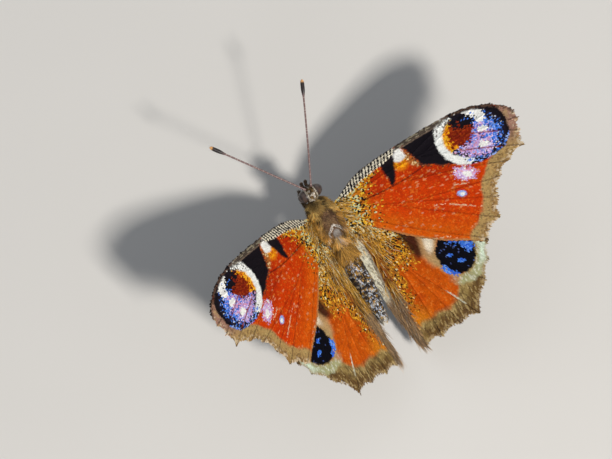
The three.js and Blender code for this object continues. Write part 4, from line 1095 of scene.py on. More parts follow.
def thorax_colours(x, y, back, flank, pick):
    """Gold and dark fur, worn brown in the middle of the back, and a mealy grey head."""
    upper = smooth(0.15, 0.45, back)
    tuft = lattice(np.floor(x / 0.25), np.floor(y / 0.9 + 0.5 * np.floor(x / 0.25) % 1), 98)
    worn = bare_patch(x, y) * upper
    seam = from_seam(x, y)
    head = smooth(2.9, 3.5, y)
    mealy = scatter(x, y, 0.17, 99)
    return layered(plain(OLIVE, len(y)), [
        (0.75 * smooth(0.45, 0.85, flank) * smooth(-0.3, 0.2, back), GOLD_FUR),
        (0.7 * smooth(-2.2, -3.1, y) * upper, GOLD_FUR),
        (0.8 * np.clip(grain(x * 1.3, y, 0.40, 91) + 0.3 * grain(x, y, 0.16, 92), 0, 1), DARK_FUR),
        (0.55 * smooth(1.4, 2.2, y) * upper, COLLAR_GOLD),
        (0.85 * (tuft < 0.27), DARK_FUR),
        (0.85 * (tuft > 0.74), PALE_TUFT),
        (0.45 * ((pick > 0.55) & (pick < 0.72)), MOSS),
        (0.92 * worn, BARE),
        (0.5 * worn * blotches(x, y, 0.22, 93), BARE_DARK),
        (0.35 * worn * (pick > 0.8), BARE_PALE),
        (upper * 0.95 * smooth(1.1, 0.7, ellipse(x, y, *SHIELD)), SHIELD_GREY),
        (upper * 0.6 * smooth(0.85, 0.5, ellipse(x, y, *SHIELD_TIP)), SHIELD_BROWN),
        (upper * 0.9 * smooth(0.13, 0.05, np.abs(seam - 0.05)), SEAM_WHITE),
        (upper * 0.8 * smooth(0.08, 0.03, seam - 0.02) * (y < -1.1), SEAM_DARK),
        (0.6 * smooth(0.0, -0.7, back), DARK_FUR),
        (head * 0.6, HEAD_BROWN),
        (0.75 * head * (mealy > 0.76), FROST),
        (0.75 * head * (mealy < 0.30), DARK_FUR)])


def abdomen_colours(x, y, back, pick):
    """Dark fur, golden near the waist, with a pale rear edge to each segment and flecks."""
    phase = (ABDOMEN_START - y) / (ABDOMEN_START - ABDOMEN_END) * SEGMENTS % 1
    pale = smooth(0.72, 0.92, phase) * smooth(-6.5, -10.0, y)
    fleck = scatter(x, y, 0.15, 100)
    return layered(plain(ABDOMEN_DARK, len(y)), [
        (0.85 * smooth(-9.5, -5.0, y), ABDOMEN_GOLD),
        (0.45 * smooth(0.3, -0.5, back), BELLY),
        (0.85 * pale * (0.45 + 0.55 * (pick > 0.4)), SEGMENT_PALE),
        (0.85 * smooth(-15.4, -16.8, y), TAIL_PALE),
        (0.70 * (fleck > 0.84) * smooth(-5.6, -7.2, y), BLUE_FLECK),
        (0.70 * ((fleck > 0.66) & (fleck < 0.80)), GOLD_FLECK),
        (0.70 * (fleck < 0.30), DARK_FLECK)])


def body_colours(y, angle, x, pick):
    """Colours of skin and fur along the body."""
    back = np.sin(angle)
    thorax = thorax_colours(x, y, back, np.abs(np.cos(angle)), pick)
    return inked(thorax, smooth(-3.4, -4.4, y), abdomen_colours(x, y, back, pick))


def body_skin():
    """One skin in place of head, thorax and abdomen."""
    front_rings, rear_rings = BODY_RINGS[:-1], BODY_RINGS[1:]
    places = [np.linspace(a[0], b[0], 8)[:-1] for a, b in zip(front_rings, rear_rings)]
    places = np.concatenate(places + [[BODY_RINGS[-1][0]], [ring[0] for ring in abdomen_rings()]])
    y, angle = np.meshgrid(places, np.arange(BODY_SIDES) / BODY_SIDES * TURN, indexing="ij")
    points = skin_point(y.ravel(), angle.ravel())
    points[:, 2] += back_relief(points[:, 0], points[:, 1]) * smooth(0.1, 0.4, np.sin(angle.ravel()))
    front, back = points[:BODY_SIDES].mean(0), points[-BODY_SIDES:].mean(0)
    points = np.vstack([points, front, back])
    corners, sizes = closed_faces(len(places), BODY_SIDES)
    all_y = np.concatenate([y.ravel(), points[-2:, 1]])
    all_angle = np.concatenate([angle.ravel(), [math.pi / 2] * 2])
    # Painted shade: the skin is painted a fifth darker than the fur on it, as shade under the coat
    colours = body_colours(all_y, all_angle, points[:, 0], 0 * all_y + 0.5) * 0.8
    obj = make_mesh("body_skin", to_ground(points), corners, sizes, colours)
    return finished(obj, skin_material, "fur", "head", "thorax", "abdomen")


# Fur: thin tapering blades that lie back along the body

# A blade: its steps, its breadth at each, and for its seven corners their painted shade and light (dark at
# the root, bright at the tip) and place in the patch
BLADE_STEPS = np.array([0.0, 0.35, 0.70, 1.0])
BLADE_BREADTH = np.array([0.9, 1.0, 0.62, 0.0])
BLADE_PAINTED_SHADE = np.array([0.45, 0.45, 0.85, 0.85, 1.15, 1.15, 1.4])
BLADE_PATCH = np.array([(-0.4, -0.5), (0.4, -0.5), (-0.5, -0.1), (0.5, -0.1), (-0.3, 0.25), (0.3, 0.25),
                        (0.0, 0.5)])
BLADE_SPREAD, MOST_BEND = 0.9, 1.3
# Hair roots lie this deep, and the fur is full where the body is this wide and high together
ROOT_DEPTH, FULL_GIRTH = 0.02, 4.0


def blades(name, roots, normals, lie, lengths, widths, lean, colours, patches, slot):
    """Tufts as curved blades of three steps, given in the body's frame in millimetres."""
    count = len(roots)
    lie = unit(lie - normals * (lie * normals).sum(-1, keepdims=True))
    across = np.cross(lie, normals)
    bend = np.clip(lean[:, None] * (1 + BLADE_SPREAD * (1 - BLADE_STEPS[None])), 0, MOST_BEND)
    rise, run = np.sin(bend), np.cos(bend)
    step_sizes = np.diff(BLADE_STEPS, prepend=0.0)
    heights = np.cumsum(rise * step_sizes[None], axis=1) * lengths[:, None]
    runs = np.cumsum(run * step_sizes[None], axis=1) * lengths[:, None]
    spine = roots[:, None] + normals[:, None] * heights[..., None] + lie[:, None] * runs[..., None]
    half = across[:, None] * (BLADE_BREADTH[None, :, None] * widths[:, None, None] / 2)
    left, right = spine - half, spine + half
    points = np.stack([left[:, 0], right[:, 0], left[:, 1], right[:, 1], left[:, 2], right[:, 2],
                       spine[:, 3]], 1)
    base = np.arange(count)[:, None] * len(BLADE_PAINTED_SHADE)
    quads = (base[:, None] + np.array([[0, 1, 3, 2], [2, 3, 5, 4]])[None]).reshape(-1, 4)
    tips = base + np.array([[4, 5, 6]])
    corners = np.concatenate([quads.ravel(), tips.ravel()])
    sizes = np.concatenate([np.full(len(quads), 4), np.full(count, 3)])
    # Painted shade and light: each blade is painted darker at its root and brighter at its tip
    paint = colours[:, None] * BLADE_PAINTED_SHADE[None, :, None]
    uv = patches[:, None] + BLADE_PATCH[None] * PATCH_SIZE
    obj = make_mesh(name, to_ground(points.reshape(-1, 3)), corners, sizes, paint.reshape(-1, 3),
                    uv.reshape(-1, 2))
    return finished(obj, fur_material, slot)


def coat(name, slot, count, y_range, length, width, lean, seed, sides=(0.0, TURN), sweep=0.0,
         tint=None, keep=None):
    """Fur over a stretch of the body, swept back and, with sweep, outward."""
    picks = np.random.default_rng(seed)
    y = picks.uniform(*y_range, count)
    angle = picks.uniform(*sides, count)
    wide, high = ring_at(y)[:2]
    kept = picks.random(count) < (wide + high) / FULL_GIRTH
    roots = skin_point(y, angle, -ROOT_DEPTH)
    if keep is not None:
        kept &= picks.random(count) < keep(roots[:, 0], y, angle)
    y, angle, roots = y[kept], angle[kept], roots[kept]
    count = len(y)
    roots[:, 2] += back_relief(roots[:, 0], y) * (np.sin(angle) > BACK_LEVEL)
    normals = skin_normal(y, angle)
    clump = grain(roots[:, 0] * 1.2, y, 0.5, seed)
    swirl = picks.normal(0, 0.22, count) + 0.5 * clump
    lie = np.stack([swirl + sweep * np.cos(angle), -np.ones(count), picks.normal(0, 0.2, count)], -1)
    size = length(roots[:, 0], y, angle) * picks.uniform(0.65, 1.25, count)
    colours = body_colours(y, angle, roots[:, 0], picks.random(count))
    if tint is not None:
        colours = inked(colours, 0.85 * picks.random(count) ** 2, tint)
    colours = colours * (picks.uniform(0.7, 1.35, count) * (1.05 + 0.35 * clump))[:, None]
    patches = np.stack([PATCH_EDGE + PATCH_SPAN * (BODY_FRONT - y) / BODY_LENGTH,
                        PATCH_EDGE + PATCH_SPAN * angle % TURN / TURN], -1)
    tilt = picks.uniform(0.7, 1.35, count) * lean
    widths = width * picks.uniform(0.7, 1.3, count)
    return blades(name, roots, normals, lie, size, widths, tilt, colours, patches, slot)


def furred(x, y, angle):
    """How much of the fur stands on the back: less on the worn middle, hardly any on the shield."""
    upper = np.sin(angle) > BACK_LEVEL
    return 1 - upper * (0.65 * bare_patch(x, y) + 0.3 * (ellipse(x, y, *SHIELD) < 1.0))


def abdomen_length(x, y, angle):
    """Longer near the waist and at the tip."""
    return 0.42 + 0.35 * smooth(-6.5, -4.2, y) + 0.35 * smooth(-15.8, -16.8, y)


def thorax_length(x, y, angle):
    """Longest on the shoulders and kept short on the worn middle of the back."""
    return 1.0 - 0.78 * bare_patch(x, y) * (np.sin(angle) > BACK_LEVEL) - 0.15 * smooth(-2.4, -3.4, y)


# Eyes, feelers, palps, tongue and legs

# Eyes: place on the head, reach of the dome, rings and sides
EYE_CENTRE, EYE_REACH = (0.55, 4.14, 0.12), (1.32, 0.94, 1.04)
EYE_RINGS, EYE_SIDES = 26, 44
EYE_RIM_HAIRS, EYE_RIM_REACH = 240, (0.58, 0.92, 1.02)


def dome_eye(word):
    """A large domed compound eye with a paler lower half and faint dark bands."""
    side = SIDE[word]
    t, a = np.meshgrid(np.linspace(0, math.pi / 2, EYE_RINGS), np.arange(EYE_SIDES) / EYE_SIDES * TURN,
                       indexing="ij")
    t, a = t.ravel(), a.ravel()
    points = np.stack([side * (EYE_CENTRE[0] + EYE_REACH[0] * np.sin(t)),
                       EYE_CENTRE[1] + EYE_REACH[1] * np.cos(t) * np.cos(a),
                       EYE_CENTRE[2] + EYE_REACH[2] * np.cos(t) * np.sin(a)], -1)
    band = np.sin(t * 9.0 + 0.8 * grain(points[:, 1], points[:, 2], 0.5, 95))
    colours = layered(plain(DOME_BROWN, len(points)), [
        (0.7 * smooth(-0.2, 0.8, band), DOME_BAND),
        (0.6 * smooth(0.2, -0.7, points[:, 2]), DOME_LOWER),
        (0.85 * smooth(0.20, 0.06, t), DOME_EDGE)])
    quads = grid_corners(EYE_RINGS, EYE_SIDES, wrap=True, flip=side < 0)
    obj = make_mesh(f"compound_eye_{word}", to_ground(points), quads, np.full(len(quads), 4), colours)
    return finished(obj, eye_material, "eye", f"eye_{word}")


def tube(points, radii, sides, flat=1.0, hint=(0.0, 0.0, 1.0)):
    """A closed tube of rings along a line of points: its points and faces."""
    points, radii = np.asarray(points, float), np.asarray(radii, float)
    along = unit(np.gradient(points, axis=0))
    side = unit(np.cross(along, np.broadcast_to(np.array(hint), along.shape)))
    up = np.cross(side, along)
    a = np.arange(sides) / sides * TURN
    ring = side[:, None] * np.cos(a)[None, :, None] * flat + up[:, None] * np.sin(a)[None, :, None]
    skin = (points[:, None] + ring * radii[:, None, None]).reshape(-1, 3)
    skin = np.vstack([skin, points[0], points[-1]])
    return skin, *closed_faces(len(points), sides, flip=True)


def merged(name, parts, slot, material, *nodes, ground=False):
    """Joins tubes into one piece; each part is (points, corners, sizes, colours)."""
    points, corners, sizes, colours = [], [], [], []
    start = 0
    for part_points, part_corners, part_sizes, part_colours in parts:
        points.append(part_points)
        corners.append(part_corners + start)
        sizes.append(part_sizes)
        colours.append(np.broadcast_to(part_colours, (len(part_points), 3)))
        start += len(part_points)
    place = np.concatenate(points)
    place = place * MM if ground else to_ground(place)
    obj = make_mesh(name, place, np.concatenate(corners), np.concatenate(sizes), np.concatenate(colours))
    return finished(obj, material, slot, *nodes)


ANTENNA_BASE, ANTENNA_LENGTH, ANTENNA_BOW, CLUB_LENGTH = (0.44, 5.05, 0.90), 14.8, 0.55, 2.1
ANTENNA_RINGS, ANTENNA_SIDES, ANTENNA_STEPS = 42, 14, 190
SHAFT_RADIUS, CLUB_SWELL = 0.125, 0.155
ANTENNA_HOLD = {"right": (27.5, -4.4), "left": (34.3, -2.6)}


def feeler(word):
    """A ringed shaft with a dark club, pale at its tip."""
    side = SIDE[word]
    aside, rise = (math.radians(v) for v in ANTENNA_HOLD[word])
    base = np.array([side * ANTENNA_BASE[0], ANTENNA_BASE[1], ANTENNA_BASE[2]])
    along = np.array([side * math.cos(rise) * math.sin(aside), math.cos(rise) * math.cos(aside),
                      math.sin(rise)])
    tip = base + along * ANTENNA_LENGTH
    middle = (base + tip) / 2 + np.array([0, 0, ANTENNA_BOW])
    t = np.linspace(0, 1, ANTENNA_STEPS)
    line = ((1 - t) ** 2)[:, None] * base + (2 * t * (1 - t))[:, None] * middle + (t**2)[:, None] * tip
    club = 1 - CLUB_LENGTH / ANTENNA_LENGTH
    swell = np.clip((t - club + 0.05) / (1 - club + 0.05), 0, 1)
    radius = SHAFT_RADIUS + CLUB_SWELL * smooth(0.05, 0.55, swell) - 0.05 * smooth(0.75, 1.0, swell)
    radius = radius * np.sqrt(np.clip((1.0015 - t) / 0.018, 0.02, 1)) * (1 + 0.35 * smooth(0.02, 0.0, t))
    ring_phase = t * ANTENNA_RINGS % 1
    radius = radius * (1 - 0.14 * smooth(0.82, 0.97, ring_phase) * smooth(0.2, 0.1, swell))
    skin, corners, sizes = tube(line, radius, ANTENNA_SIDES)
    place = np.concatenate([np.repeat(t, ANTENNA_SIDES), [0, 1]])
    axis_height = np.concatenate([np.repeat(line[:, 2], ANTENNA_SIDES), [9, 9]])
    colours = layered(plain(SHAFT, len(skin)), [
        (0.7 * smooth(0.75, 0.95, place * ANTENNA_RINGS % 1), SHAFT_RING),
        (0.5 * (skin[:, 2] < axis_height), SHAFT_UNDER),
        (smooth(club - 0.03, club + 0.03, place), CLUB),
        (smooth(0.965, 0.985, place), CLUB_TIP)])
    return merged(f"feeler_{word}", [(skin, corners, sizes, colours)], "antenna", horn_material,
                  f"antenna_{word}")


PALP_RADIUS, PALP_STEPS = 0.17, 24
PALP_LINE = [(0.28, 4.60, -0.95), (0.32, 5.30, -0.90), (0.33, 5.68, -0.55), (0.34, 5.88, -0.08)]


def palp_piece(word):
    """A palp, upturned in front of the face; gives back the bars that its hair stands on."""
    side = SIDE[word]
    share = np.linspace(0, 1, PALP_STEPS)
    points = spline([(side * x, y, z) for x, y, z in PALP_LINE], share)
    swell = 0.09 * np.sin(math.pi * np.clip(share * 1.15, 0, 1))
    radius = PALP_RADIUS + swell - 0.13 * smooth(0.7, 1.0, share)
    skin, corners, sizes = tube(points, radius, 14, flat=0.8)
    part = (skin, corners, sizes, PALP_BROWN)
    merged(f"palp_core_{word}", [part], "fur", skin_material, f"palp_{word}")
    line = [on_ground((side * x, y, z)) for x, y, z in PALP_LINE]
    return [(a, b, PALP_RADIUS) for a, b in zip(line[:-1], line[1:])]


TONGUE_TURNS, TONGUE_MIDDLE, TONGUE_STEPS = 3.25, (4.75, -2.0), 230
COIL_RADIUS, COIL_FALL = 0.64, 0.50


def tongue():
    """The coiled tongue, three close turns of a fine tube under the face."""
    t = np.linspace(0, 1, TONGUE_STEPS)
    radius = COIL_RADIUS - COIL_FALL * t
    angle = math.radians(80) - t * TONGUE_TURNS * TURN
    y, z = TONGUE_MIDDLE[0] + radius * np.cos(angle), TONGUE_MIDDLE[1] + radius * np.sin(angle)
    coil = np.stack([0.02 * np.sin(angle), y, z], -1)
    lead = spline([(0, 4.75, -0.85), (0, 4.95, -1.1), tuple(coil[0] + [0, 0.02, 0.1])],
                  np.linspace(0, 1, 12))[:-1]
    line = np.vstack([lead, coil])
    size = np.concatenate([np.full(len(lead), 0.11), 0.10 - 0.045 * t])
    skin, corners, sizes = tube(line, size, 12, flat=1.35, hint=(1.0, 0.0, 0.0))
    stripe = np.repeat(np.arange(len(line)) % 3 == 0, 12)
    stripe = np.concatenate([stripe, [0, 0]])
    colours = inked(plain(TONGUE_BROWN, len(skin)), 0.35 * stripe, TONGUE_DARK)
    return merged("coiled_tongue", [(skin, corners, sizes, colours)], "tongue", horn_material, "proboscis")


# Legs: root and coxa in the body's frame, the rest over the ground, for the right side
WALKING_LEGS = {
    "midleg": ((1.0, -0.2, -1.75), (1.3, -0.5, -3.35), (5.0, 2.1, 5.7), (7.1, 3.0), (10.4, 4.6)),
    "hindleg": ((0.95, -2.2, -1.35), (1.2, -2.7, -3.1), (3.9, -4.4, 5.1), (5.6, -7.5), (7.4, -10.9)),
}
ANKLE_HEIGHT, TOE_HEIGHT, SOLE_HEIGHT = 0.55, 0.115, 0.125
COXA_RADII, FEMUR_RADII = (0.36, 0.42, 0.34), (0.26, 0.34, 0.31, 0.20)
TIBIA_RADII, FOOT_RADII = (0.19, 0.20, 0.17, 0.15), (0.105, 0.12, 0.124)
FOOT_JOINTS = (0.0, 0.30, 0.52, 0.70, 0.85, 1.0)
# Radii within which the hair of coxa, femur and tibia is rooted
HAIR_RADII = (0.40, 0.30, 0.18)
FORELEG = [(0.8, 1.5, -1.3), (0.90, 1.75, -2.50), (0.98, 3.0, -2.80), (0.86, 4.0, -2.58), (0.78, 4.55, -2.25)]
FORELEG_RADII = ((0.24, 0.30, 0.26), (0.22, 0.26, 0.22), (0.19, 0.21, 0.17), (0.15, 0.16, 0.10))


def leg_colours(skin, seed):
    """Brown with paler and darker blotches."""
    x, y, z = skin.T
    return layered(plain(LEG_BROWN, len(skin)), [
        (0.7 * blotches(x + z, y, 0.3, seed), LEG_PALE),
        (0.5 * blotches(x - z, y, 0.7, seed + 1), LEG_DARK)])


def segment(start, end, shape, seed, sides=12):
    """A leg segment whose radii are given along it."""
    start, end = np.asarray(start, float), np.asarray(end, float)
    t = np.linspace(0, 1, len(shape))
    fine = np.linspace(0, 1, 22)
    line = start + (end - start) * fine[:, None]
    radius = np.interp(fine, t, shape) * np.sqrt(np.clip(np.minimum(fine, 1 - fine) / 0.04, 0.15, 1))
    skin, corners, sizes = tube(line, radius, sides,
                                hint=(0.3, 0.2, 0.9) if abs(end[2] - start[2]) < 1 else (0.8, 0.3, 0.1))
    return skin, corners, sizes, leg_colours(skin, seed)


def on_ground(point):
    """From the body's frame to the ground's, in millimetres."""
    return np.asarray(point) @ STANCE.T + ORIGIN


def walking_leg(kind, word):
    """A leg with its segments, spurs and claws on the ground; gives back its bars for the hair."""
    side = SIDE[word]
    root, coxa, knee, ankle, toe = WALKING_LEGS[kind]
    aside = np.array([side, 1, 1])
    start, hip = on_ground(np.array(root) * aside), on_ground(np.array(coxa) * aside)
    place = np.array([ORIGIN[0], ORIGIN[1], 0.0])
    knee = np.array(knee) * aside + place
    foot = np.array([*ankle, ANKLE_HEIGHT]) * aside + place
    tip = np.array([*toe, TOE_HEIGHT]) * aside + place
    bars = ((start, hip, COXA_RADII), (hip, knee, FEMUR_RADII), (knee, foot, TIBIA_RADII))
    parts = [segment(a, b, radii, 101 + k) for k, (a, b, radii) in enumerate(bars)]
    steps = [foot + (tip - foot) * share for share in FOOT_JOINTS]
    for step, share in zip(steps[1:], FOOT_JOINTS[1:]):
        step[2] = max(SOLE_HEIGHT, ANKLE_HEIGHT * (1 - share / FOOT_JOINTS[1]))
    for k, (a, b) in enumerate(zip(steps[:-1], steps[1:])):
        parts.append(segment(a, b, FOOT_RADII, 104 + k, 10))
    forward = (tip - foot) / np.linalg.norm(tip - foot)
    across = np.cross(forward, [0, 0, 1])
    for turn in (-1, 1):
        hook = spline([tip - forward * 0.05, tip + forward * 0.16 + across * turn * 0.09 + [0, 0, 0.05],
                       tip + forward * 0.28 + across * turn * 0.12 - [0, 0, 0.07]], np.linspace(0, 1, 9))
        skin, corners, sizes = tube(hook, np.linspace(0.045, 0.012, 9), 8)
        parts.append((skin, corners, sizes, LEG_DARK))
        spur = np.linspace(foot, foot + forward * 0.42 + across * turn * 0.2 - [0, 0, 0.22], 5)
        skin, corners, sizes = tube(spur, np.linspace(0.05, 0.012, 5), 8)
        parts.append((skin, corners, sizes, LEG_PALE))
    merged(f"{kind}_limb_{word}", parts, "leg", horn_material, f"{kind}_{word}", ground=True)
    return [(a, b, radius) for (a, b, _), radius in zip(bars, HAIR_RADII)]


def fore_leg(word):
    """The short brush-like foreleg, folded under the face; gives back its bars for the hair."""
    side = SIDE[word]
    points = np.array(FORELEG) * np.array([side, 1, 1])
    bars = list(zip(points[:-1], points[1:], FORELEG_RADII))
    parts = [segment(a, b, radii, 111 + k) for k, (a, b, radii) in enumerate(bars)]
    merged(f"foreleg_limb_{word}", parts, "leg", skin_material, f"foreleg_{word}")
    return [(on_ground(a), on_ground(b), radii[1]) for a, b, radii in bars]


def bar_tufts(kind, word, bars, slot):
    """Short hair round the straight bars of a limb, given on the ground in millimetres."""
    per_mm, length, colour, pale, seed = LIMB_HAIR[kind]
    picks = np.random.default_rng(seed)
    roots, normals, lies, share = [], [], [], []
    for k, (start, end, radius) in enumerate(bars):
        start, end = np.asarray(start, float), np.asarray(end, float)
        span = np.linalg.norm(end - start)
        along = (end - start) / span
        count = int(per_mm * span)
        side = np.cross(along, [0.31, 0.52, 0.79])
        side /= np.linalg.norm(side)
        up = np.cross(side, along)
        a, t = picks.uniform(0, TURN, count), picks.uniform(0.03, 0.95, count)
        out = side * np.cos(a)[:, None] + up * np.sin(a)[:, None]
        roots.append(start + (end - start) * t[:, None] + out * radius * 0.82)
        normals.append(out)
        lies.append(np.tile(along, (count, 1)) + picks.normal(0, 0.2, (count, 3)))
        share.append(np.stack([(k + t) / len(bars), a / TURN], -1))
    roots, normals, lies = np.concatenate(roots), np.concatenate(normals), np.concatenate(lies)
    back = (roots - ORIGIN) @ STANCE
    count = len(roots)
    paint = inked(plain(colour, count), picks.random(count) * 0.8, pale)
    paint = paint * picks.uniform(0.7, 1.3, (count, 1))
    sizes = length * picks.uniform(0.6, 1.3, count)
    return blades(f"{kind}_hair_{word}", back, normals @ STANCE, lies @ STANCE, sizes, sizes * 0.16,
                  picks.uniform(0.2, 0.5, count), paint,
                  PATCH_EDGE + PATCH_SPAN * np.concatenate(share), slot)


# Long hair on each kind of wing: the field where it may stand, the way it lies, and its lift
HAIR_FIELD = {"fore": ((-0.3, 2.2), (-2.4, 1.2)), "hind": ((-1.2, 5.2), (-20.0, -0.2))}
HAIR_LIE = {"fore": (0.85, -0.5), "hind": (0.35, -0.93)}
HAIR_LIFT, HAIR_STEP = 0.02, 0.05


def wing_hair(kind, word, count, length, seed):
    """Long hair on the roots of the wings, lying outward and back over the scales."""
    picks = np.random.default_rng(seed + (word == "left") * 10)
    wing = WINGS[kind]
    x_range, y_range = HAIR_FIELD[kind]
    x, y = picks.uniform(*x_range, count), picks.uniform(*y_range, count)
    share = 0.8 * smooth(2.0, 0.2, x) if kind == "fore" else hind_hair_share(x, y, word)
    kept = inside_outline(x, y, wing.outline) & (picks.random(count) < share)
    x, y = x[kept], y[kept]
    count = len(x)
    lift = np.full(count, SHEET_HALF + HAIR_LIFT)
    place = wing_points(kind, x, y, lift, word) / MM
    over = wing_points(kind, x, y, lift + 0.1, word) / MM
    lie_x, lie_y = HAIR_LIE[kind]
    out = wing_points(kind, x + HAIR_STEP * lie_x, y + HAIR_STEP * lie_y, lift, word) / MM
    back = (place - ORIGIN) @ STANCE
    normals = unit((over - place) @ STANCE)
    lie = (out - place) @ STANCE / HAIR_STEP + picks.normal(0, 0.22, (count, 3))
    sizes = length * picks.uniform(0.55, 1.25, count)
    paint = hair_colours(x, y, picks.random(count)) * picks.uniform(0.75, 1.3, (count, 1))
    patches = wing.patch(np.stack([x, y], -1))
    return blades(f"{kind}wing_hair_{word}", back, normals, lie, sizes, sizes * 0.02 + 0.04,
                  picks.uniform(0.05, 0.20, count), paint, patches, f"{kind}wing")


def hair_colours(x, y, pick):
    """Gold, dark and olive hairs near the root, duller ones towards the tail."""
    dull = 0.75 * smooth(-10.0, -13.0, y)
    colours = layered(plain(HAIR_GOLD, len(x)), [
        (pick < 0.18, HAIR_DARK),
        (pick > 0.56, HAIR_BRIGHT),
        (pick > 0.90, HAIR_PALE),
        (dull, HAIR_DULL)])
    return colours * (1 + 0.35 * grain(x * 3, y, 0.6, 97) * dull)[:, None]


def hind_hair_share(x, y, word):
    """Where the long hair of the hindwing grows: near its root and along its inner edge."""
    inner = 0.55 * smooth(2.6, 1.2, x) * smooth(-8.0, -12.0, y)
    root = 0.20 * smooth(5.0, 2.0, x) * smooth(-9.5, -4.0, y)
    strip = smooth(0.9, 0.5, x) * smooth(-2.0, -3.5, y) * smooth(-13.5, -11.5, y)
    if word == "left":
        return np.maximum(np.maximum(inner, root), 0.6 * strip)
    return np.maximum(inner, root) * (1 - 0.85 * strip)


def eye_rim(word):
    """Pale short hair round the eye."""
    picks = np.random.default_rng(131 if word == "right" else 132)
    side = SIDE[word]
    count = EYE_RIM_HAIRS
    a = picks.uniform(0, TURN, count)
    ring = picks.uniform(0.97, 1.03, count)
    roots = np.stack([side * (EYE_RIM_REACH[0] + picks.normal(0, 0.04, count)),
                      EYE_CENTRE[1] + EYE_RIM_REACH[1] * ring * np.cos(a),
                      EYE_CENTRE[2] + EYE_RIM_REACH[2] * ring * np.sin(a)], -1)
    normals = unit(np.stack([np.full(count, side * 0.35), np.cos(a), np.sin(a)], -1))
    lie = np.stack([np.full(count, side * 0.8), np.full(count, -0.9), picks.normal(0, 0.3, count)], -1)
    sizes = picks.uniform(0.12, 0.22, count)
    paint = inked(plain(RIM_PALE, count), picks.random(count) > 0.45, RIM_DARK)
    patches = np.stack([0.05 + 0.9 * a / TURN, 0.05 + 0.9 * picks.random(count)], -1)
    return blades(f"eye_rim_{word}", roots, normals, lie, sizes, sizes * 0.2,
                  picks.uniform(0.3, 0.8, count), paint, patches, "fur")


# Build the butterfly

DENSITY = 1.0


def even(length):
    """Fur of one length all over."""
    return lambda x, y, angle: length + 0 * y


# Coats: name, slot, count, stretch of the body, length, width, lean, seed and further settings
COATS = (
    ("thorax_fur", "fur", 20000, (-3.9, 2.95), thorax_length, 0.10, 0.36, 121, {"keep": furred}),
    ("collar_fur", "fur", 4200, (2.25, 3.15), even(0.75), 0.09, 0.45, 124, {"tint": COLLAR_TINT}),
    ("head_fur", "fur", 7000, (2.95, 5.05), even(0.34), 0.06, 0.5, 122, {}),
    ("waist_fur", "fur", 5200, (-5.4, -2.7), even(1.9), 0.08, 0.16, 125,
     {"sides": (-0.7, math.pi + 0.7), "sweep": 0.5, "tint": GOLD_FUR}),
    ("shoulder_fur_right", "fur", 2300, (-2.6, 2.1), even(1.15), 0.09, 0.34, 126,
     {"sides": (0.1, 0.9), "sweep": 1.2, "tint": GOLD_FUR}),
    ("shoulder_fur_left", "fur", 2300, (-2.6, 2.1), even(1.15), 0.09, 0.34, 127,
     {"sides": (math.pi - 0.9, math.pi - 0.1), "sweep": 1.2, "tint": GOLD_FUR}),
    ("abdomen_fur", "abdomen", 30000, (-17.0, -3.7), abdomen_length, 0.10, 0.26, 123, {}),
)
# Hair of the limbs: hairs for each millimetre, length, colour, paler colour and seed
LIMB_HAIR = {
    "palp": (420, 0.22, PALP_HAIR, PALP_HAIR_PALE, 133),
    "foreleg": (260, 0.42, FORELEG_HAIR, FORELEG_HAIR_PALE, 134),
    "midleg": (170, 0.26, LEG_HAIR, LEG_HAIR_PALE, 135),
    "hindleg": (170, 0.26, LEG_HAIR, LEG_HAIR_PALE, 135),
}
# Hair of the wing roots: count, length and seed
ROOT_HAIR = {"fore": (1500, 0.9, 141), "hind": (9000, 1.7, 142)}

body_skin()
for name, slot, count, stretch, length, width, lean, seed, settings in COATS:
    coat(name, slot, int(count * DENSITY), stretch, length, width, lean, seed, **settings)
tongue()
for word in SIDE:
    dome_eye(word)
    eye_rim(word)
    feeler(word)
    bar_tufts("palp", word, palp_piece(word), "fur")
    bar_tufts("foreleg", word, fore_leg(word), "leg")
    for kind in WALKING_LEGS:
        bar_tufts(kind, word, walking_leg(kind, word), "leg")
    for kind in WINGS:
        wing_sheet(kind, word)
        wing_scales(kind, word, True)
        wing_scales(kind, word, False)
    for kind, (count, length, seed) in ROOT_HAIR.items():
        wing_hair(kind, word, int(count * DENSITY), length, seed)


# Stage, light and camera

FLOOR_REACH = 1.5
FLOOR_DARK, FLOOR_PALE = (0.60, 0.585, 0.56, 1), (0.66, 0.645, 0.62, 1)


def floor_material():
    """A matt, faintly mottled pale floor."""
    material = bpy.data.materials.new("pale_floor")
    material.use_nodes = True
    nodes, links = material.node_tree.nodes, material.node_tree.links
    shader = nodes["Principled BSDF"]
    shader.inputs["Roughness"].default_value = 0.85
    mottling = add_node(nodes, "TexNoise", Scale=60.0)
    ramp = add_node(nodes, "ValToRGB")
    ramp.color_ramp.elements[0].color = FLOOR_DARK
    ramp.color_ramp.elements[1].color = FLOOR_PALE
    chain(links, (mottling, "Fac", ramp, "Fac"), (ramp, "Color", shader, "Base Color"))
    return material


floor_mesh = bpy.data.meshes.new("floor")
floor_corners = [(x * FLOOR_REACH, y * FLOOR_REACH, 0) for x, y in ((-1, -1), (1, -1), (1, 1), (-1, 1))]
floor_mesh.from_pydata(floor_corners, [], [(0, 1, 2, 3)])
floor = bpy.data.objects.new("floor", floor_mesh)
floor.data.materials.append(floor_material())
bpy.context.scene.collection.objects.link(floor)


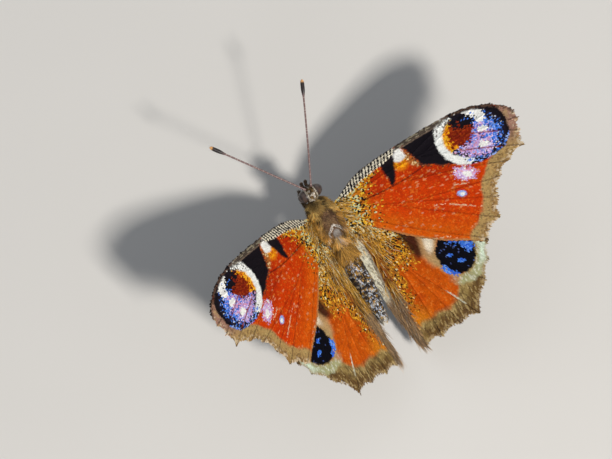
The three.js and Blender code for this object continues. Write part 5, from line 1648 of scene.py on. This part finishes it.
# Lamps: name, direction, width in metres, power in watts and colour
LAMP_DISTANCE = 0.8
LAMPS = (
    ("key", SUN_DIRECTION, 0.09, 6.4, (1.0, 0.96, 0.90)),
    ("fill", (-0.5, 0.6, 0.7), 0.7, 0.9, (0.90, 0.94, 1.0)),
    ("back", (0.7, 0.5, 0.35), 0.5, 0.7, (1.0, 1.0, 1.0)),
)
SKY_COLOUR, SKY_STRENGTH = (0.80, 0.86, 0.95, 1), 0.24


def area_light(name, direction, size, energy, colour):
    """A square lamp that looks at the butterfly."""
    lamp = bpy.data.lights.new(name, "AREA")
    lamp.size, lamp.energy, lamp.color = size, energy, colour
    obj = bpy.data.objects.new(name, lamp)
    away = Vector(direction).normalized()
    obj.location = away * LAMP_DISTANCE
    obj.rotation_euler = away.to_track_quat("Z", "Y").to_euler()
    bpy.context.scene.collection.objects.link(obj)


for lamp in LAMPS:
    area_light(*lamp)
world = bpy.context.scene.world or bpy.data.worlds.new("studio")
bpy.context.scene.world = world
world.use_nodes = True
background = world.node_tree.nodes["Background"]
background.inputs["Color"].default_value = SKY_COLOUR
background.inputs["Strength"].default_value = SKY_STRENGTH
bpy.context.scene.view_settings.view_transform = "Standard"

camera_data = bpy.data.cameras.new("camera")
camera_data.lens = CAMERA_LENS
camera_data.sensor_width = SENSOR_WIDTH
camera_data.clip_start = 0.01
camera_data.clip_end = 20
camera = bpy.data.objects.new("camera", camera_data)
right, up = np.array(CAMERA_RIGHT), np.array(CAMERA_UP)
forward = -np.cross(right, up)
aim = np.array([ORIGIN[0], ORIGIN[1], CAMERA_AIM_HEIGHT])
aim = aim + right * CAMERA_AIM_ASIDE[0] + up * CAMERA_AIM_ASIDE[1]
spot = (aim - forward * CAMERA_DISTANCE) * MM
pose = Matrix.Identity(4)
for column, axis in enumerate((right, up, -forward)):
    for row in range(3):
        pose[row][column] = axis[row]
for row in range(3):
    pose[row][3] = spot[row]
camera.matrix_world = pose
bpy.context.scene.collection.objects.link(camera)
bpy.context.scene.camera = camera
